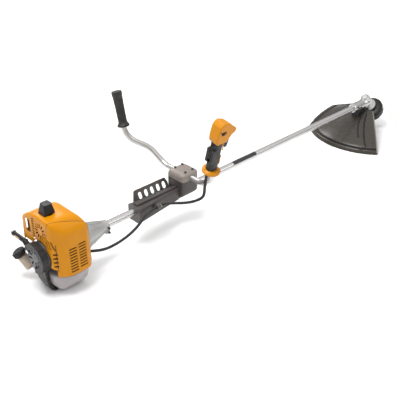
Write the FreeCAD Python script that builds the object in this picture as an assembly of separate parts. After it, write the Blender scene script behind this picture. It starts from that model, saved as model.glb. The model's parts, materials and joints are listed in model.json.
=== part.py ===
import FreeCAD, Part
import math
import os

# Petrol brush cutter with a bullhorn handlebar and a two-line trimmer head.
# Millimetres. +X runs forward along the drive tube, +Y to the machine's left, +Z up.
# The origin is on the floor, at the middle of the flat base of the fuel tank.

V = FreeCAD.Vector
X, Y, Z = V(1, 0, 0), V(0, 1, 0), V(0, 0, 1)

# ---------------------------------------------------------------- driving dimensions
SHAFT_Z = 130.0            # height of the crankshaft and drive tube above the floor
RUN_GAP = 0.04             # radial clearance of every running fit

TUBE_R = 13.0
TUBE_WALL = 1.6
TUBE_START = 106.0
TUBE_END = 1585.0
SHAFT_R = 4.0

ENGINE_X = -36.0           # cylinder axis
CASE_HALF = 36.0           # half length of the crankcase
CRANK_THROW = 16.0
JOURNAL_R = 8.0
BORE_R = 20.0
FLYWHEEL_R = 45.0
FAN_HOUSING_R = 54.0
CLUTCH_FRONT = 165.0       # front end of the clutch housing

COWL_WALL = 2.6
COWL_REAR = -85.0
PLUG_CAP_X = -44.0
STARTER_R = 47.0
STARTER_FRONT = -78.0
STARTER_REAR = -108.0
ROPE_PITCH_R = 20.0
ROPE_Z = SHAFT_Z + ROPE_PITCH_R
TANK_TOP = 75.0

CLAMP_X = 512.0
BAR_R = 11.0
BAR_Z = 187.0
GRIP_BASE = V(429, 214, 300)
GRIP_LEAN = 13.9           # the grips lean outward by this many degrees

GEAR_X = 1632.0            # where the input and output axes cross
OUTPUT_ANGLE = 50.0        # the output axis points this far below the tube
PINION_TEETH = 14
CROWN_TEETH = 19
CONE_OUTER = 29.0          # outer and inner cone distance of the bevel teeth
CONE_INNER = 20.0

GUARD_AXIS = V(1648, -16, 0)   # vertical axis of the guard's cone
GUARD_R = 270.0
GUARD_RIGHT_ANGLE = 42.5   # the guard covers this much to the right of the tube
GUARD_LEFT_ANGLE = 92.5    # and this much to its left, where its corner is cut straight
HEAD_R = 54.0

ORIGIN_OF_SHAFT = V(0, 0, SHAFT_Z)
GEAR_CENTRE = V(GEAR_X, 0, SHAFT_Z)
OUTPUT = V(math.cos(math.radians(OUTPUT_ANGLE)), 0, -math.sin(math.radians(OUTPUT_ANGLE)))


# ---------------------------------------------------------------- helpers
def on_shaft(x):
    return V(x, 0, SHAFT_Z)


def on_output(distance):
    return GEAR_CENTRE + OUTPUT * distance


def rod(radius, start, end):
    start, end = V(start), V(end)
    return Part.makeCylinder(radius, (end - start).Length, start, end - start)


def ring(outer, inner, start, end):
    return rod(outer, start, end).cut(rod(inner, start, end))


def block(x0, x1, y0, y1, z0, z1):
    return Part.makeBox(x1 - x0, y1 - y0, z1 - z0, V(x0, y0, z0))


def soft_block(x0, x1, y0, y1, z0, z1, radius):
    solid = block(x0, x1, y0, y1, z0, z1)
    return solid.makeFillet(radius, solid.Edges)


def join(first, *others):
    return first.multiFuse(list(others)).removeSplitter()


def rounded_path(points, radius=None, closed=False):
    """Straight runs joined by tangent arcs. With no radius, each arc is as large as its runs allow."""
    points = [V(p) for p in points]
    count = len(points)
    corners = range(count) if closed else range(1, count - 1)
    cuts = {}
    radii = []
    for i in corners:
        back = points[i - 1] - points[i]
        ahead = points[(i + 1) % count] - points[i]
        half_turn = (math.pi - back.getAngle(ahead)) / 2
        reach = 0.45 * min(back.Length, ahead.Length)
        if radius is not None:
            reach = min(reach, radius * math.tan(half_turn))
        radii.append(reach / math.tan(half_turn))
        start = points[i] + back.normalize() * reach
        end = points[i] + ahead.normalize() * reach
        middle_way = (back + ahead).normalize()
        sag = radii[-1] / math.cos(half_turn) - radii[-1]
        cuts[i] = (start, points[i] + middle_way * sag, end)
    edges = []
    last = None if closed else points[0]
    for i in corners:
        start, middle, end = cuts[i]
        if last is not None:
            edges.append(Part.LineSegment(last, start).toShape())
        edges.append(Part.Arc(start, middle, end).toShape())
        last = end
    goal = cuts[0][0] if closed else points[-1]
    edges.append(Part.LineSegment(last, goal).toShape())
    return Part.Wire(edges), radii


def prism(points, axis, low, high, radius=0.0):
    """Outline extruded along an axis. Points are (y, z) for X, (x, z) for Y and (x, y) for Z."""
    place = {"x": lambda a, b: V(low, a, b), "y": lambda a, b: V(a, low, b), "z": lambda a, b: V(a, b, low)}
    way = {"x": X, "y": Y, "z": Z}
    corners = [place[axis](a, b) for a, b in points]
    if radius:
        wire = rounded_path(corners, radius, closed=True)[0]
    else:
        wire = Part.makePolygon(corners + corners[:1])
    return Part.Face(wire).extrude(way[axis] * (high - low))


def turned(profile, base, axis):
    """A profile of (distance along the axis, radius) revolved about it."""
    corners = [V(r, 0, s) for s, r in profile]
    face = Part.Face(Part.makePolygon(corners + corners[:1]))
    solid = face.revolve(V(0, 0, 0), Z, 360)
    solid.Placement = FreeCAD.Placement(V(base), FreeCAD.Rotation(Z, V(axis)))
    return solid


def swept(points, section_r, radius=None, label=None):
    path, radii = rounded_path(points, radius)
    start = path.Edges[0]
    circle = Part.Circle(start.valueAt(start.FirstParameter), start.tangentAt(start.FirstParameter), section_r)
    solid = path.makePipeShell([Part.Wire(circle.toShape())], True, False)
    if label:
        expected = math.pi * section_r ** 2 * path.Length
        print(label, "length", round(path.Length, 1), "volume ratio", round(solid.Volume / expected, 4))
        print("   radii", [round(r) for r in radii])
    return solid


def around(solid, count, base, axis, first=0.0):
    copies = []
    for i in range(count):
        copy = solid.copy()
        copy.rotate(V(base), V(axis), first + 360.0 * i / count)
        copies.append(copy)
    return copies


saved = []


def save(name, *shapes):
    shape = shapes[0] if len(shapes) == 1 else Part.makeCompound(list(shapes))
    assert shape.isValid(), name
    assert all(s.Volume > 0 for s in shape.Solids), name
    saved.append(name)
    shape.exportStep(f"parts/{name}.step")
    return shape


# ---------------------------------------------------------------- shaft and clutch
def make_drive_line():
    tube = ring(TUBE_R, TUBE_R - TUBE_WALL, on_shaft(TUBE_START), on_shaft(TUBE_END))
    save("drive_tube", tube)

    pinion_back = GEAR_X - 52.0
    shaft = rod(SHAFT_R, on_shaft(82), on_shaft(pinion_back + 20))
    save("drive_shaft", shaft)

    cup = [(60, 34.5), (60, 37), (82, 37), (82, 9), (101, 9), (101, SHAFT_R), (78, SHAFT_R), (78, 34.5)]
    save("clutch_drum", turned(cup, V(0, 0, SHAFT_Z), X))


def make_clutch_shoes():
    start, end = 63.0, 75.0
    shoe_ring = ring(33.4, 16.0, on_shaft(start), on_shaft(end))
    slot = block(start - 1, end + 1, -3.5, 3.5, SHAFT_Z - 40, SHAFT_Z + 40)
    shoes = shoe_ring.cut(slot)
    hub = rod(13.0, on_shaft(start), on_shaft(end)).cut(rod(6.0, on_shaft(start), on_shaft(end)))
    save("clutch_shoes", *shoes.Solids, hub)


def make_clutch_housing():
    profile = [(56, 54), (62, 54), (62, 47), (78, 43), (146, 22), (CLUTCH_FRONT, 19.5), (CLUTCH_FRONT, TUBE_R),
               (104, TUBE_R), (104, 9.6), (99, 9.6), (99, 16), (89, 16), (89, 39.5), (56, 39.5)]
    housing = turned(profile, V(0, 0, SHAFT_Z), X)
    ribs = []
    for angle in range(0, 360, 30):
        rib = prism([(70, SHAFT_Z + 42), (70, SHAFT_Z + 46.6), (146, SHAFT_Z + 23.4), (146, SHAFT_Z + 21)],
                    "y", -1.1, 1.1)
        rib.rotate(on_shaft(0), X, angle + 15)
        ribs.append(rib)
    lug = soft_block(150, CLUTCH_FRONT, -21, 14, SHAFT_Z - 23, SHAFT_Z - 8, 2)
    bore = rod(TUBE_R, on_shaft(103), on_shaft(CLUTCH_FRONT + 1))
    split = block(132, CLUTCH_FRONT + 1, -1.2, 1.2, SHAFT_Z - 25, SHAFT_Z - 5)
    housing = join(housing, *ribs, lug).cut(bore).cut(split).cut(clutch_screws())
    save("clutch_housing", housing)


def screw(head_centre, direction, head_r=4.2, head_h=4.5, shank_r=2.5, shank=14.0):
    """A socket-head screw; direction points from the head into the work."""
    way = V(direction).normalize()
    head = rod(head_r, head_centre, head_centre + way * head_h)
    socket = rod(head_r * 0.45, head_centre, head_centre + way * head_h * 0.6)
    return join(head.cut(socket), rod(shank_r, head_centre + way * head_h, head_centre + way * (head_h + shank)))


def clutch_screws():
    """A locating screw beside the tube and the clamp screw under it."""
    return [screw(V(159, -26, SHAFT_Z), Y, shank=8.3), screw(V(159, -26, SHAFT_Z - 16.5), Y, 3.8, 4.5, 2.2, 30)]


# ---------------------------------------------------------------- engine
def make_crankcase():
    low, high = ENGINE_X - CASE_HALF, ENGINE_X + CASE_HALF
    outline = [(-40, 92), (40, 92), (40, 172), (-40, 172)]
    case = prism(outline, "x", low, high, 12)
    cavity = rod(29, on_shaft(ENGINE_X - 24), on_shaft(ENGINE_X + 24))
    seats = rod(17, on_shaft(low + 2), on_shaft(high - 2))
    shaft_hole = rod(JOURNAL_R + 1.5, on_shaft(low - 8), on_shaft(high + 1))
    bore = rod(BORE_R, V(ENGINE_X, 0, SHAFT_Z), V(ENGINE_X, 0, 173))
    flange = rod(STARTER_R, on_shaft(STARTER_FRONT), on_shaft(low))
    case = join(case, flange).cut(join(cavity, seats, bore, shaft_hole))
    front_half = block(ENGINE_X, high + 1, -80, 80, 0, 300)
    rear_half = block(low - 10, ENGINE_X, -80, 80, 0, 300)
    save("crankcase_halves", case.common(front_half), case.common(rear_half))


def make_bearings():
    low, high = ENGINE_X - CASE_HALF, ENGINE_X + CASE_HALF
    inner = JOURNAL_R + RUN_GAP
    rear_main = ring(17, inner, on_shaft(low + 2), on_shaft(low + 12))
    front_main = ring(17, inner, on_shaft(high - 12), on_shaft(high - 2))
    drum = ring(16, 9 + RUN_GAP, on_shaft(89), on_shaft(99))
    pinion = ring(13, 6 + RUN_GAP, on_shaft(GEAR_X - 46), on_shaft(GEAR_X - 38))
    upper = ring(10, 6 + RUN_GAP, on_output(-33.5), on_output(-27.5))
    lower = ring(16, 8 + RUN_GAP, on_output(15), on_output(26))
    bush_spacing, bush_length = 270.0, 22.0
    bushes = []
    for i in range(5):
        start = 220.0 + i * bush_spacing
        bushes.append(ring(TUBE_R - TUBE_WALL, SHAFT_R + RUN_GAP, on_shaft(start), on_shaft(start + bush_length)))
    save("bearings_and_bushes", rear_main, front_main, drum, pinion, upper, lower, *bushes)


def make_crankshaft():
    rear_end = -86.0
    web, pin_half = 22.0, 12.0
    rear = rod(JOURNAL_R, on_shaft(ENGINE_X - CASE_HALF - 7), on_shaft(ENGINE_X - pin_half))
    nose = rod(6.0, on_shaft(rear_end), on_shaft(ENGINE_X - CASE_HALF - 7))
    front = rod(JOURNAL_R, on_shaft(ENGINE_X + pin_half), on_shaft(48))
    tip = rod(6.0, on_shaft(48), on_shaft(76))
    webs = [rod(26, on_shaft(ENGINE_X + a), on_shaft(ENGINE_X + b)) for a, b in ((-web, -pin_half), (pin_half, web))]
    pin_z = SHAFT_Z + CRANK_THROW
    pin = rod(6.0, V(ENGINE_X - pin_half, 0, pin_z), V(ENGINE_X + pin_half, 0, pin_z))
    save("crankshaft", join(rear, nose, front, tip, *webs, pin))


def make_piston_group():
    crown, skirt = 220.0, 186.0
    wrist_z = 202.0
    wrist_r = 4.5
    piston = rod(BORE_R - RUN_GAP, V(ENGINE_X, 0, skirt), V(ENGINE_X, 0, crown))
    hollow = rod(BORE_R - 3, V(ENGINE_X, 0, skirt), V(ENGINE_X, 0, crown - 5))
    wrist_pin = rod(wrist_r, V(ENGINE_X - 16, 0, wrist_z), V(ENGINE_X + 16, 0, wrist_z))
    bosses = [rod(8, V(ENGINE_X + side * 7, 0, wrist_z), V(ENGINE_X + side * 17.5, 0, wrist_z)) for side in (-1, 1)]
    save("piston", join(piston.cut(hollow), *bosses).cut(wrist_pin))
    small_end = rod(8, V(ENGINE_X - 5, 0, wrist_z), V(ENGINE_X + 5, 0, wrist_z)).cut(wrist_pin)
    shank_foot = SHAFT_Z + CRANK_THROW + 8     # the big end is left open so that the crank pin turns freely
    shank = block(ENGINE_X - 4, ENGINE_X + 4, -4.5, 4.5, shank_foot, wrist_z - 6)
    save("connecting_rod", join(small_end, shank), wrist_pin)


def make_cylinder():
    deck, head_top = 172.0, 236.0
    barrel = rod(26, V(ENGINE_X, 0, deck), V(ENGINE_X, 0, head_top))
    fins = []
    for i in range(8):
        z = 178 + i * 7.6
        fins.append(prism([(ENGINE_X - 36, -36), (ENGINE_X + 36, -36), (ENGINE_X + 36, 36), (ENGINE_X - 36, 36)],
                          "z", z, z + 1.8, 9))
    base = block(ENGINE_X - 30, ENGINE_X + 30, -30, 30, deck, deck + 4)
    exhaust_port = block(ENGINE_X - 17, ENGINE_X + 17, -43, -20, 186, 212)
    intake_port = block(ENGINE_X - 15, ENGINE_X + 15, 20, 48, 186, 216)
    bore = rod(BORE_R, V(ENGINE_X, 0, deck - 1), V(ENGINE_X, 0, 224))
    plug_hole = rod(7, V(ENGINE_X, 0, 220), V(ENGINE_X, 0, head_top + 1))
    exhaust_bore = rod(8, V(ENGINE_X, -44, 199), V(ENGINE_X, 0, 199))
    intake_bore = rod(7, V(ENGINE_X, 49, 201), V(ENGINE_X, 0, 201))
    solid = join(barrel, *fins, base, exhaust_port, intake_port)
    save("cylinder", solid.cut([bore, plug_hole, exhaust_bore, intake_bore]))


def make_flywheel():
    plate = [(13, JOURNAL_R), (13, FLYWHEEL_R), (25, FLYWHEEL_R), (25, 38), (19, 38), (19, 16), (40, 16), (40, JOURNAL_R)]
    wheel = turned(plate, V(0, 0, SHAFT_Z), X)
    blade = prism([(17, SHAFT_Z + 15), (17, SHAFT_Z + 44), (42, SHAFT_Z + 44), (42, SHAFT_Z + 15)], "y", -1.2, 1.2)
    blade.rotate(V(30, 0, SHAFT_Z + 30), Z, 14)
    save("flywheel_fan", join(wheel, *around(blade, 12, on_shaft(0), X)))


def make_fan_housing():
    low = ENGINE_X + CASE_HALF
    wall = ring(FAN_HOUSING_R, 50, on_shaft(low), on_shaft(56))
    plate = ring(50, 18, on_shaft(low), on_shaft(low + 3))
    window = block(low + 3, 50, -23, 23, SHAFT_Z + 30, SHAFT_Z + 80)
    vents = around(block(low - 1, low + 4, -5, 5, SHAFT_Z + 26, SHAFT_Z + 42), 8, on_shaft(0), X, 22.5)
    save("fan_housing", join(wall, plate).cut(window).cut(vents))

    core = block(14, 24, -20, 20, SHAFT_Z + 48, SHAFT_Z + 56)
    coil = block(10, 36, -13, 13, SHAFT_Z + 56, SHAFT_Z + 82)
    save("ignition_coil", join(core, coil.makeFillet(3, coil.Edges)))


def make_plug():
    x = ENGINE_X
    thread = rod(7, V(x, 0, 224), V(x, 0, 236))
    hexagon = Part.Face(Part.makePolygon([V(x + 10 * math.cos(math.radians(a)), 10 * math.sin(math.radians(a)), 236)
                                          for a in range(0, 361, 60)])).extrude(Z * 9)
    insulator = turned([(245, 0), (245, 6), (262, 4.5), (262, 2.5), (270, 2.5), (270, 0)], V(x, 0, 0), Z)
    save("spark_plug", join(thread, hexagon, insulator))
    boot = turned([(247, 6.2), (247, 7.5), (266, 7.5), (273, 6), (273, 0), (271, 0), (271, 6.2)], V(x, 0, 0), Z)
    save("plug_boot", boot)


def make_muffler():
    box = soft_block(ENGINE_X - 22, ENGINE_X + 42, -72, -43, 162, 230, 8)
    inside = soft_block(ENGINE_X - 20, ENGINE_X + 40, -70, -45, 164, 228, 6)
    inlet = rod(8, V(ENGINE_X, -50, 199), V(ENGINE_X, -42, 199))
    outlet = rod(5, V(ENGINE_X + 20, -60, 199), V(ENGINE_X + 20, -80, 199))
    save("muffler", box.cut(inside).cut(inlet).cut(outlet))


def make_carburettor():
    x = ENGINE_X
    body = join(soft_block(x - 17, x + 17, 48, 80, 180, 222, 4), rod(12, V(x, 48, 201), V(x, 80, 201)))
    bore = rod(7, V(x, 47, 201), V(x, 81, 201))
    barrel_seat = rod(6.5 + RUN_GAP, V(x, 64, 180.5), V(x, 64, 223))
    bulb_seat = rod(9, V(x - 18, 64, 192), V(x - 11, 64, 192))
    save("carburettor", body.cut(join(bore, barrel_seat)).cut(bulb_seat))

    barrel = rod(6.5, V(x, 64, 182), V(x, 64, 226)).cut(bore)
    arm = soft_block(x - 22, x + 5, 60.5, 67.5, 226, 229, 1.2)
    save("throttle_valve", join(barrel, arm))

    dome = turned([(0, 0), (0, 8), (3, 8), (7, 7), (10, 4), (11, 0)], V(x - 15, 64, 192), -X)
    save("primer_bulb", dome)


def make_air_filter():
    low, high = -56.0, 28.0
    bottom, top = 148.0, 222.0
    plate = prism([(low, bottom), (high, bottom), (high, top), (low, top)], "y", 80.5, 84.4, 6)
    throat = rod(7.5, V(ENGINE_X, 78, 201), V(ENGINE_X, 88, 201))
    save("air_filter_base", plate.cut(throat))
    foam = block(low + 4, high - 4, 86, 98, bottom + 4, top - 4)
    save("air_filter_foam", foam)
    shell = soft_block(low, high, 76, 112, bottom, top, 7)
    inner = block(low + 3, high - 3, 70, 109, bottom + 3, top - 3)
    keep = block(low - 1, high + 1, 84.6, 113, bottom - 1, top + 1)
    save("air_filter_cover", shell.cut(inner).common(keep))
    lever = join(rod(6, V(-36, 79.8, 162), V(-36, 76.4, 162)), soft_block(-62, -33, 76.4, 79.8, 159, 165, 1.2))
    save("choke_lever", lever)


# ---------------------------------------------------------------- covers
COWL_REAR_OUTLINE = [(-76, 62), (-84, 130), (-84, 230), (-52, 266), (42, 270), (104, 236), (104, 62)]
COWL_SIDE_OUTLINE = [(COWL_REAR, 60), (COWL_REAR, 252), (-54, 268), (-4, 270), (34, 250), (56, 206), (61, 150), (57, 60)]
COWL_PLAN_OUTLINE = [(COWL_REAR, -54), (-48, -86), (36, -86), (60, -56), (60, 40), (24, 90), (-40, 104),
                     (COWL_REAR, 104)]


def cowl_form(inset):
    """Outer form of the cowl, or the space inside it when inset is the wall."""
    def outline(points, axis, low, high, radius):
        wire = rounded_path([V(a, b, 0) for a, b in points], radius, closed=True)[0]
        if inset:
            wire = wire.makeOffset2D(-inset)
        turn = {"x": FreeCAD.Rotation(V(0, 1, 0), V(0, 0, 1), V(1, 0, 0), "ZXY"),
                "y": FreeCAD.Rotation(V(1, 0, 0), V(0, 0, 1), V(0, -1, 0), "ZXY"),
                "z": FreeCAD.Rotation()}[axis]
        start = {"x": V(low, 0, 0), "y": V(0, low, 0), "z": V(0, 0, low)}[axis]
        way = {"x": X, "y": Y, "z": Z}[axis]
        face = Part.Face(wire)
        face.Placement = FreeCAD.Placement(start, turn).multiply(face.Placement)
        return face.extrude(way * (high - low))
    rear = outline(COWL_REAR_OUTLINE, "x", -120, 120, 26)
    side = outline(COWL_SIDE_OUTLINE, "y", -120, 120, 20)
    plan = outline(COWL_PLAN_OUTLINE, "z", 0, 320, 16)
    return rear.common(side).common(plan)


def cowl_slots():
    cuts = []
    # two columns of level slots in the right side, over the muffler
    for column, (x0, x1) in enumerate(((-38, -11), (-5, 24))):
        for i in range(9):
            z = 168 - 10 * i + 6 * column
            cuts.append(block(x0, x1, -100, -70, z - 2.4, z + 2.4))
    # short slots down the left of the rear face
    for i in range(9):
        z = 246 - 8.5 * i
        cuts.append(block(-100, -70, 28, 40, z - 2, z + 2))
    # fan of slots in the middle of the rear face
    fan_z = 216.0
    for i in range(12):
        slot = block(-100, -70, 12, 27, fan_z - 1.8, fan_z + 1.8)
        slot.rotate(V(0, -3, fan_z), X, 30 * i)
        cuts.append(slot)
    # three long slanted slots and a column of small ones near the right rear edge
    for i in range(3):
        slot = block(-100, -62, -47 - 9 * i, -43 - 9 * i, 176, 206)
        slot.rotate(V(0, -47 - 9 * i, 190), X, 24)
        cuts.append(slot)
    for i in range(4):
        cuts.append(block(-100, -62, -70, -60, 158 - 14 * i, 164 - 14 * i))
    return cuts


def make_cowl():
    shell = cowl_form(0).cut(cowl_form(COWL_WALL))
    open_bottom = block(-100, 100, -100, 110, 0, 75)
    starter_hole = rod(STARTER_R + 5, on_shaft(-100), on_shaft(-60))
    low_rear = prism([(-64, 0), (-64, 100), (-20, 120), (100, 148), (100, 0)], "x", -100, -55)
    low_left = prism([(-100, 0), (-100, 140), (90, 120), (90, 0)], "y", 40, 130)
    clutch_hole = rod(56, on_shaft(40), on_shaft(100))
    front_low = block(40, 100, -40, 60, 0, 130)
    cable_hole = rod(8, V(36, -62, 116), V(90, -62, 96))
    viewing = prism([(52, 238), (80, 222), (80, 196), (60, 184), (52, 200)], "x", -100, -70, 3)
    left_window = block(-59, 31, 74, 130, 145, 225)
    rear_left = prism([(-80, 176), (-63, 176), (-63, 214), (-80, 210)], "y", 90, 130, 5)
    handle_way = rod(13, V(-93, 0, ROPE_Z), V(-93, 130, ROPE_Z))
    plug_window = rod(16, V(PLUG_CAP_X, 0, 230), V(PLUG_CAP_X, 0, 300))
    cuts = [open_bottom, starter_hole, low_rear, low_left, clutch_hole, front_low, cable_hole, viewing, left_window,
            rear_left, plug_window, handle_way]
    shell = shell.cut(cuts).cut(cowl_slots())
    save("engine_cowl", max(shell.Solids, key=lambda s: s.Volume))


def make_plug_cap():
    def pyramid(inset, foot, top):
        corners = ((-1, -1), (1, -1), (1, 1), (-1, 1))
        x, y = PLUG_CAP_X, 7.0
        base = [V(x + a * (22 - inset), y + b * (22 - inset), foot) for a, b in corners]
        tip = [V(x + a * (14 - inset), y + b * (14 - inset), top) for a, b in corners]
        wires = [rounded_path(p, 5, closed=True)[0] for p in (base, tip)]
        return Part.makeLoft(wires, True, True)
    cap = pyramid(0, 252, 298).cut(pyramid(2.5, 250, 295))
    save("plug_cap", cap.cut(cowl_form(0)))


# ---------------------------------------------------------------- recoil starter
def make_starter():
    front, rear = STARTER_FRONT, STARTER_REAR
    profile = [(-front, STARTER_R), (-rear - 5, STARTER_R), (-rear, STARTER_R - 6), (-rear, 0), (-rear - 3, 0),
               (-rear - 3, STARTER_R - 8), (-rear - 7, STARTER_R - 3), (-front, STARTER_R - 3)]
    cup = turned(profile, V(0, 0, SHAFT_Z), -X)
    post = rod(5, on_shaft(rear), on_shaft(-90))
    vents = around(block(rear - 1, rear + 4, -3, 3, SHAFT_Z + 16, SHAFT_Z + 38), 10, on_shaft(0), X)
    rope_way = rod(4, V(-93, 0, ROPE_Z), V(-93, 70, ROPE_Z))
    save("starter_housing", join(cup, post).cut(vents).cut(rope_way))

    groove, rim = ROPE_PITCH_R - 1.8, ROPE_PITCH_R + 6
    wheel = [(88, 5 + RUN_GAP), (88, rim), (90.5, rim), (90.5, groove), (95.5, groove), (95.5, rim), (98, rim),
             (98, 5 + RUN_GAP)]
    save("starter_pulley", turned(wheel, V(0, 0, SHAFT_Z), -X))
    turns = [ring(r + 1.6, r, on_shaft(-104.5), on_shaft(-99)) for r in (14, 19, 24, 29, 34)]
    save("recoil_spring", *turns)

    sector = prism([(0, 0), (150, 60), (150, -200), (0, -200)], "x", -130, -70)
    sector.translate(V(0, 0, SHAFT_Z))
    face = ring(STARTER_R + 3.5, 31, on_shaft(rear - 6), on_shaft(rear - 0.2))
    rim = ring(STARTER_R + 3.5, STARTER_R + 0.2, on_shaft(rear - 0.2), on_shaft(-90))
    guide = turned([(8, 11), (52, 8), (60, 9.5), (66, 9.5), (66, 0), (8, 0)], V(-96, 0, ROPE_Z), Y)
    crescent = join(face, rim).cut(sector)
    rope_way = rod(4, V(-93, -1, ROPE_Z), V(-93, 70, ROPE_Z))
    clear = rod(STARTER_R + 0.2, on_shaft(rear), on_shaft(-60))
    save("starter_guard", join(crescent, guide.cut(clear)).cut(rope_way))

    rope = rod(1.6, V(-93, 4, ROPE_Z), V(-93, 80, ROPE_Z))
    save("starter_rope", rope)
    grip = turned([(67, 0), (67, 7), (72, 9.5), (82, 8), (136, 8), (142, 9.5), (148, 7), (148, 0)],
                  V(-93, 0, ROPE_Z), Y)
    inset = soft_block(-104, -98, 96, 126, ROPE_Z - 4, ROPE_Z + 4, 1.5)
    save("starter_handle", grip.cut(rod(1.6, V(-93, 60, ROPE_Z), V(-93, 80, ROPE_Z))).cut(inset))


# ---------------------------------------------------------------- fuel tank
def tank_form(inset):
    top, floor = TANK_TOP - inset, inset
    ends = prism([(-84 + inset, top), (-84 + inset, 46), (-46, floor), (40, floor), (98 - inset, 38),
                  (104 - inset, top)], "x", -120, 120, 40)
    sides = prism([(-80 + inset, top), (-80 + inset, 34), (-48, floor), (22, floor), (52 - inset, 40),
                   (52 - inset, top)], "y", -120, 130, 30)
    plan = prism([(-80 + inset, -50), (-44, -84 + inset), (22, -84 + inset), (52 - inset, -50), (52 - inset, 80),
                  (30, 104 - inset), (-80 + inset, 104 - inset)], "z", floor, top, 24)
    return ends.common(sides).common(plan)


def make_tank():
    neck_top = V(-98, 106, 86)
    lean = V(-0.40, 0.36, 0.84).normalize()
    neck_foot = neck_top - lean * 52
    wall = 2.0
    outer = join(tank_form(0), rod(17, neck_foot, neck_top))
    inner = join(tank_form(wall), rod(14, neck_foot, neck_top + lean))
    save("fuel_tank", outer.cut(inner))
    skirt = [(0.3, 0), (0.3, 20), (3, 21), (16, 21), (19, 17), (19, 0)]
    knurls = around(rod(1.2, V(21.2, 0, 3), V(21.2, 0, 16)), 20, V(0, 0, 0), Z)
    plug = rod(13.9, V(0, 0, -8), V(0, 0, 0.3))
    cap = join(turned(skirt, V(0, 0, 0), Z), plug, *knurls)
    cap.Placement = FreeCAD.Placement(neck_top, FreeCAD.Rotation(Z, lean))
    save("fuel_cap", cap)
    print("cap axis", [round(c, 4) for c in lean])


def make_stand():
    outline = [(-98, 96), (-88, 96), (-84, 40), (-68, 10), (-56, 2), (-66, 1), (-80, 10), (-92, 40)]
    foot = prism(outline, "y", -28, 24, 2)
    clear = join(rod(STARTER_R + 4, on_shaft(-140), on_shaft(-60)), tank_form(-0.3))
    save("tank_stand", foot.cut(clear))


# ---------------------------------------------------------------- hip guard and handlebar
def make_hip_guard(cable_point, cable_way):
    def section(x, half, low, high):
        return rounded_path([V(x, -half, low), V(x, half, low), V(x, half, high), V(x, -half, high)], 8, closed=True)[0]
    body = Part.makeLoft([section(282, 30, 92, 152), section(312, 28, 94, 150), section(472, 20, 106, 151)], True, True)
    ridge = Part.makeLoft([rounded_path([V(x, -w, 148), V(x, w, 148), V(x, w, h), V(x, -w, h)], 3, closed=True)[0]
                           for x, w, h in ((290, 8, 157), (472, 7, 156))], True, True)
    panel = prism([(300, 0), (326, 60), (466, 60), (482, 0)], "y", 0, 5, 8)
    ovals = []
    for i in range(5):
        x = 345 + 27 * i
        ovals.append(prism([(x - 8, 24), (x + 8, 24), (x + 8, 49), (x - 8, 49)], "y", -1, 6, 7.9))
    panel = panel.cut(ovals)
    panel.rotate(V(0, 0, 0), X, -28)
    panel.translate(V(0, 22, 120))
    pockets = [block(338 + 27 * i, 352 + 27 * i, 27, 40, 116, 128) for i in range(5)]
    ear = rod(9, cable_point - cable_way * 7, cable_point + cable_way * 7)
    web = block(346, 360, -38, -18, 128, 140)
    hole = rod(5.2, cable_point - cable_way * 12, cable_point + cable_way * 12)
    bore = rod(TUBE_R, on_shaft(200), on_shaft(600))
    clamp = rod(41.6, V(CLAMP_X, -60, 142), V(CLAMP_X, 60, 142))
    guard = join(body, ridge, panel, ear, web).cut([bore, hole, clamp] + pockets)
    save("hip_guard", max(guard.Solids, key=lambda s: s.Volume))


def make_bar_clamp():
    half = 42.0
    drum = turned([(-half, 0), (-half, 34), (-half + 6, 41), (half - 6, 41), (half, 34), (half, 0)],
                  V(CLAMP_X, 0, 142), Y)
    base = join(drum, soft_block(476, 552, -38, 38, 108, 182, 8))
    cap_outline = [(482, 172), (480, 196), (494, 214), (534, 214), (552, 192), (550, 172)]
    cap = prism(cap_outline, "y", -44, 44, 5)
    bar = rod(BAR_R, V(CLAMP_X, -60, BAR_Z), V(CLAMP_X, 60, BAR_Z))
    tube = rod(TUBE_R, on_shaft(400), on_shaft(620))
    below = block(400, 620, -60, 60, 0, BAR_Z - 0.5)
    above = block(400, 620, -60, 60, BAR_Z + 0.5, 300)
    wells = join(*[rod(4.6, V(x, y, 208.5), V(x, y, 220)) for x, y in clamp_screw_places()])
    shanks = join(*[rod(2.5, V(x, y, 160), V(x, y, 215)) for x, y in clamp_screw_places()])
    base = base.common(below)
    save("clamp_base", base.cut([bar, tube, shanks]))
    save("clamp_cap", cap.common(above).cut([bar, wells, shanks]))


def clamp_screw_places():
    return [(x, y) for x in (496, 530) for y in (-26, 26)]


BAR_HALF = [V(CLAMP_X, 95, BAR_Z), V(496, 160, 240), V(430, 212, 284)]


def mirrored(points):
    return [V(p.x, -p.y, p.z) for p in points]


def grip_point(side, height):
    """A point on a grip's axis, height above the grip base; side is 1 for left and -1 for right."""
    lean = math.radians(GRIP_LEAN)
    return V(GRIP_BASE.x, side * (GRIP_BASE.y + height * math.sin(lean)), GRIP_BASE.z + height * math.cos(lean))


def in_grip(solid, side):
    """Places a solid modelled with +X forward and +Z up the grip."""
    placed = solid.copy()
    turn = FreeCAD.Rotation(X, -side * GRIP_LEAN)
    placed.Placement = FreeCAD.Placement(V(GRIP_BASE.x, side * GRIP_BASE.y, GRIP_BASE.z), turn).multiply(placed.Placement)
    return placed


def make_handlebar():
    half = BAR_HALF + [grip_point(1, 120)]
    points = mirrored(half)[::-1] + half
    bar = save("handlebar", swept(points, BAR_R, 75, "handlebar"))

    profile = [(26, 22), (31, 23), (35, 21), (39, 17), (60, 15.5), (100, 16), (138, 18), (150, 19), (154, 17),
               (154, 0), (120, 0), (120, BAR_R), (26, BAR_R)]
    flutes = around(rod(1.6, V(17.2, 0, 42), V(18.2, 0, 140)), 14, V(0, 0, 0), Z)
    save("left_grip", in_grip(turned(profile, V(0, 0, 0), Z).cut(flutes), 1).cut(bar))
    return bar


TRIGGER_PIVOT = (33.0, 148.0)
LOCKOUT_PIVOT = (-15.0, 122.0)


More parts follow.
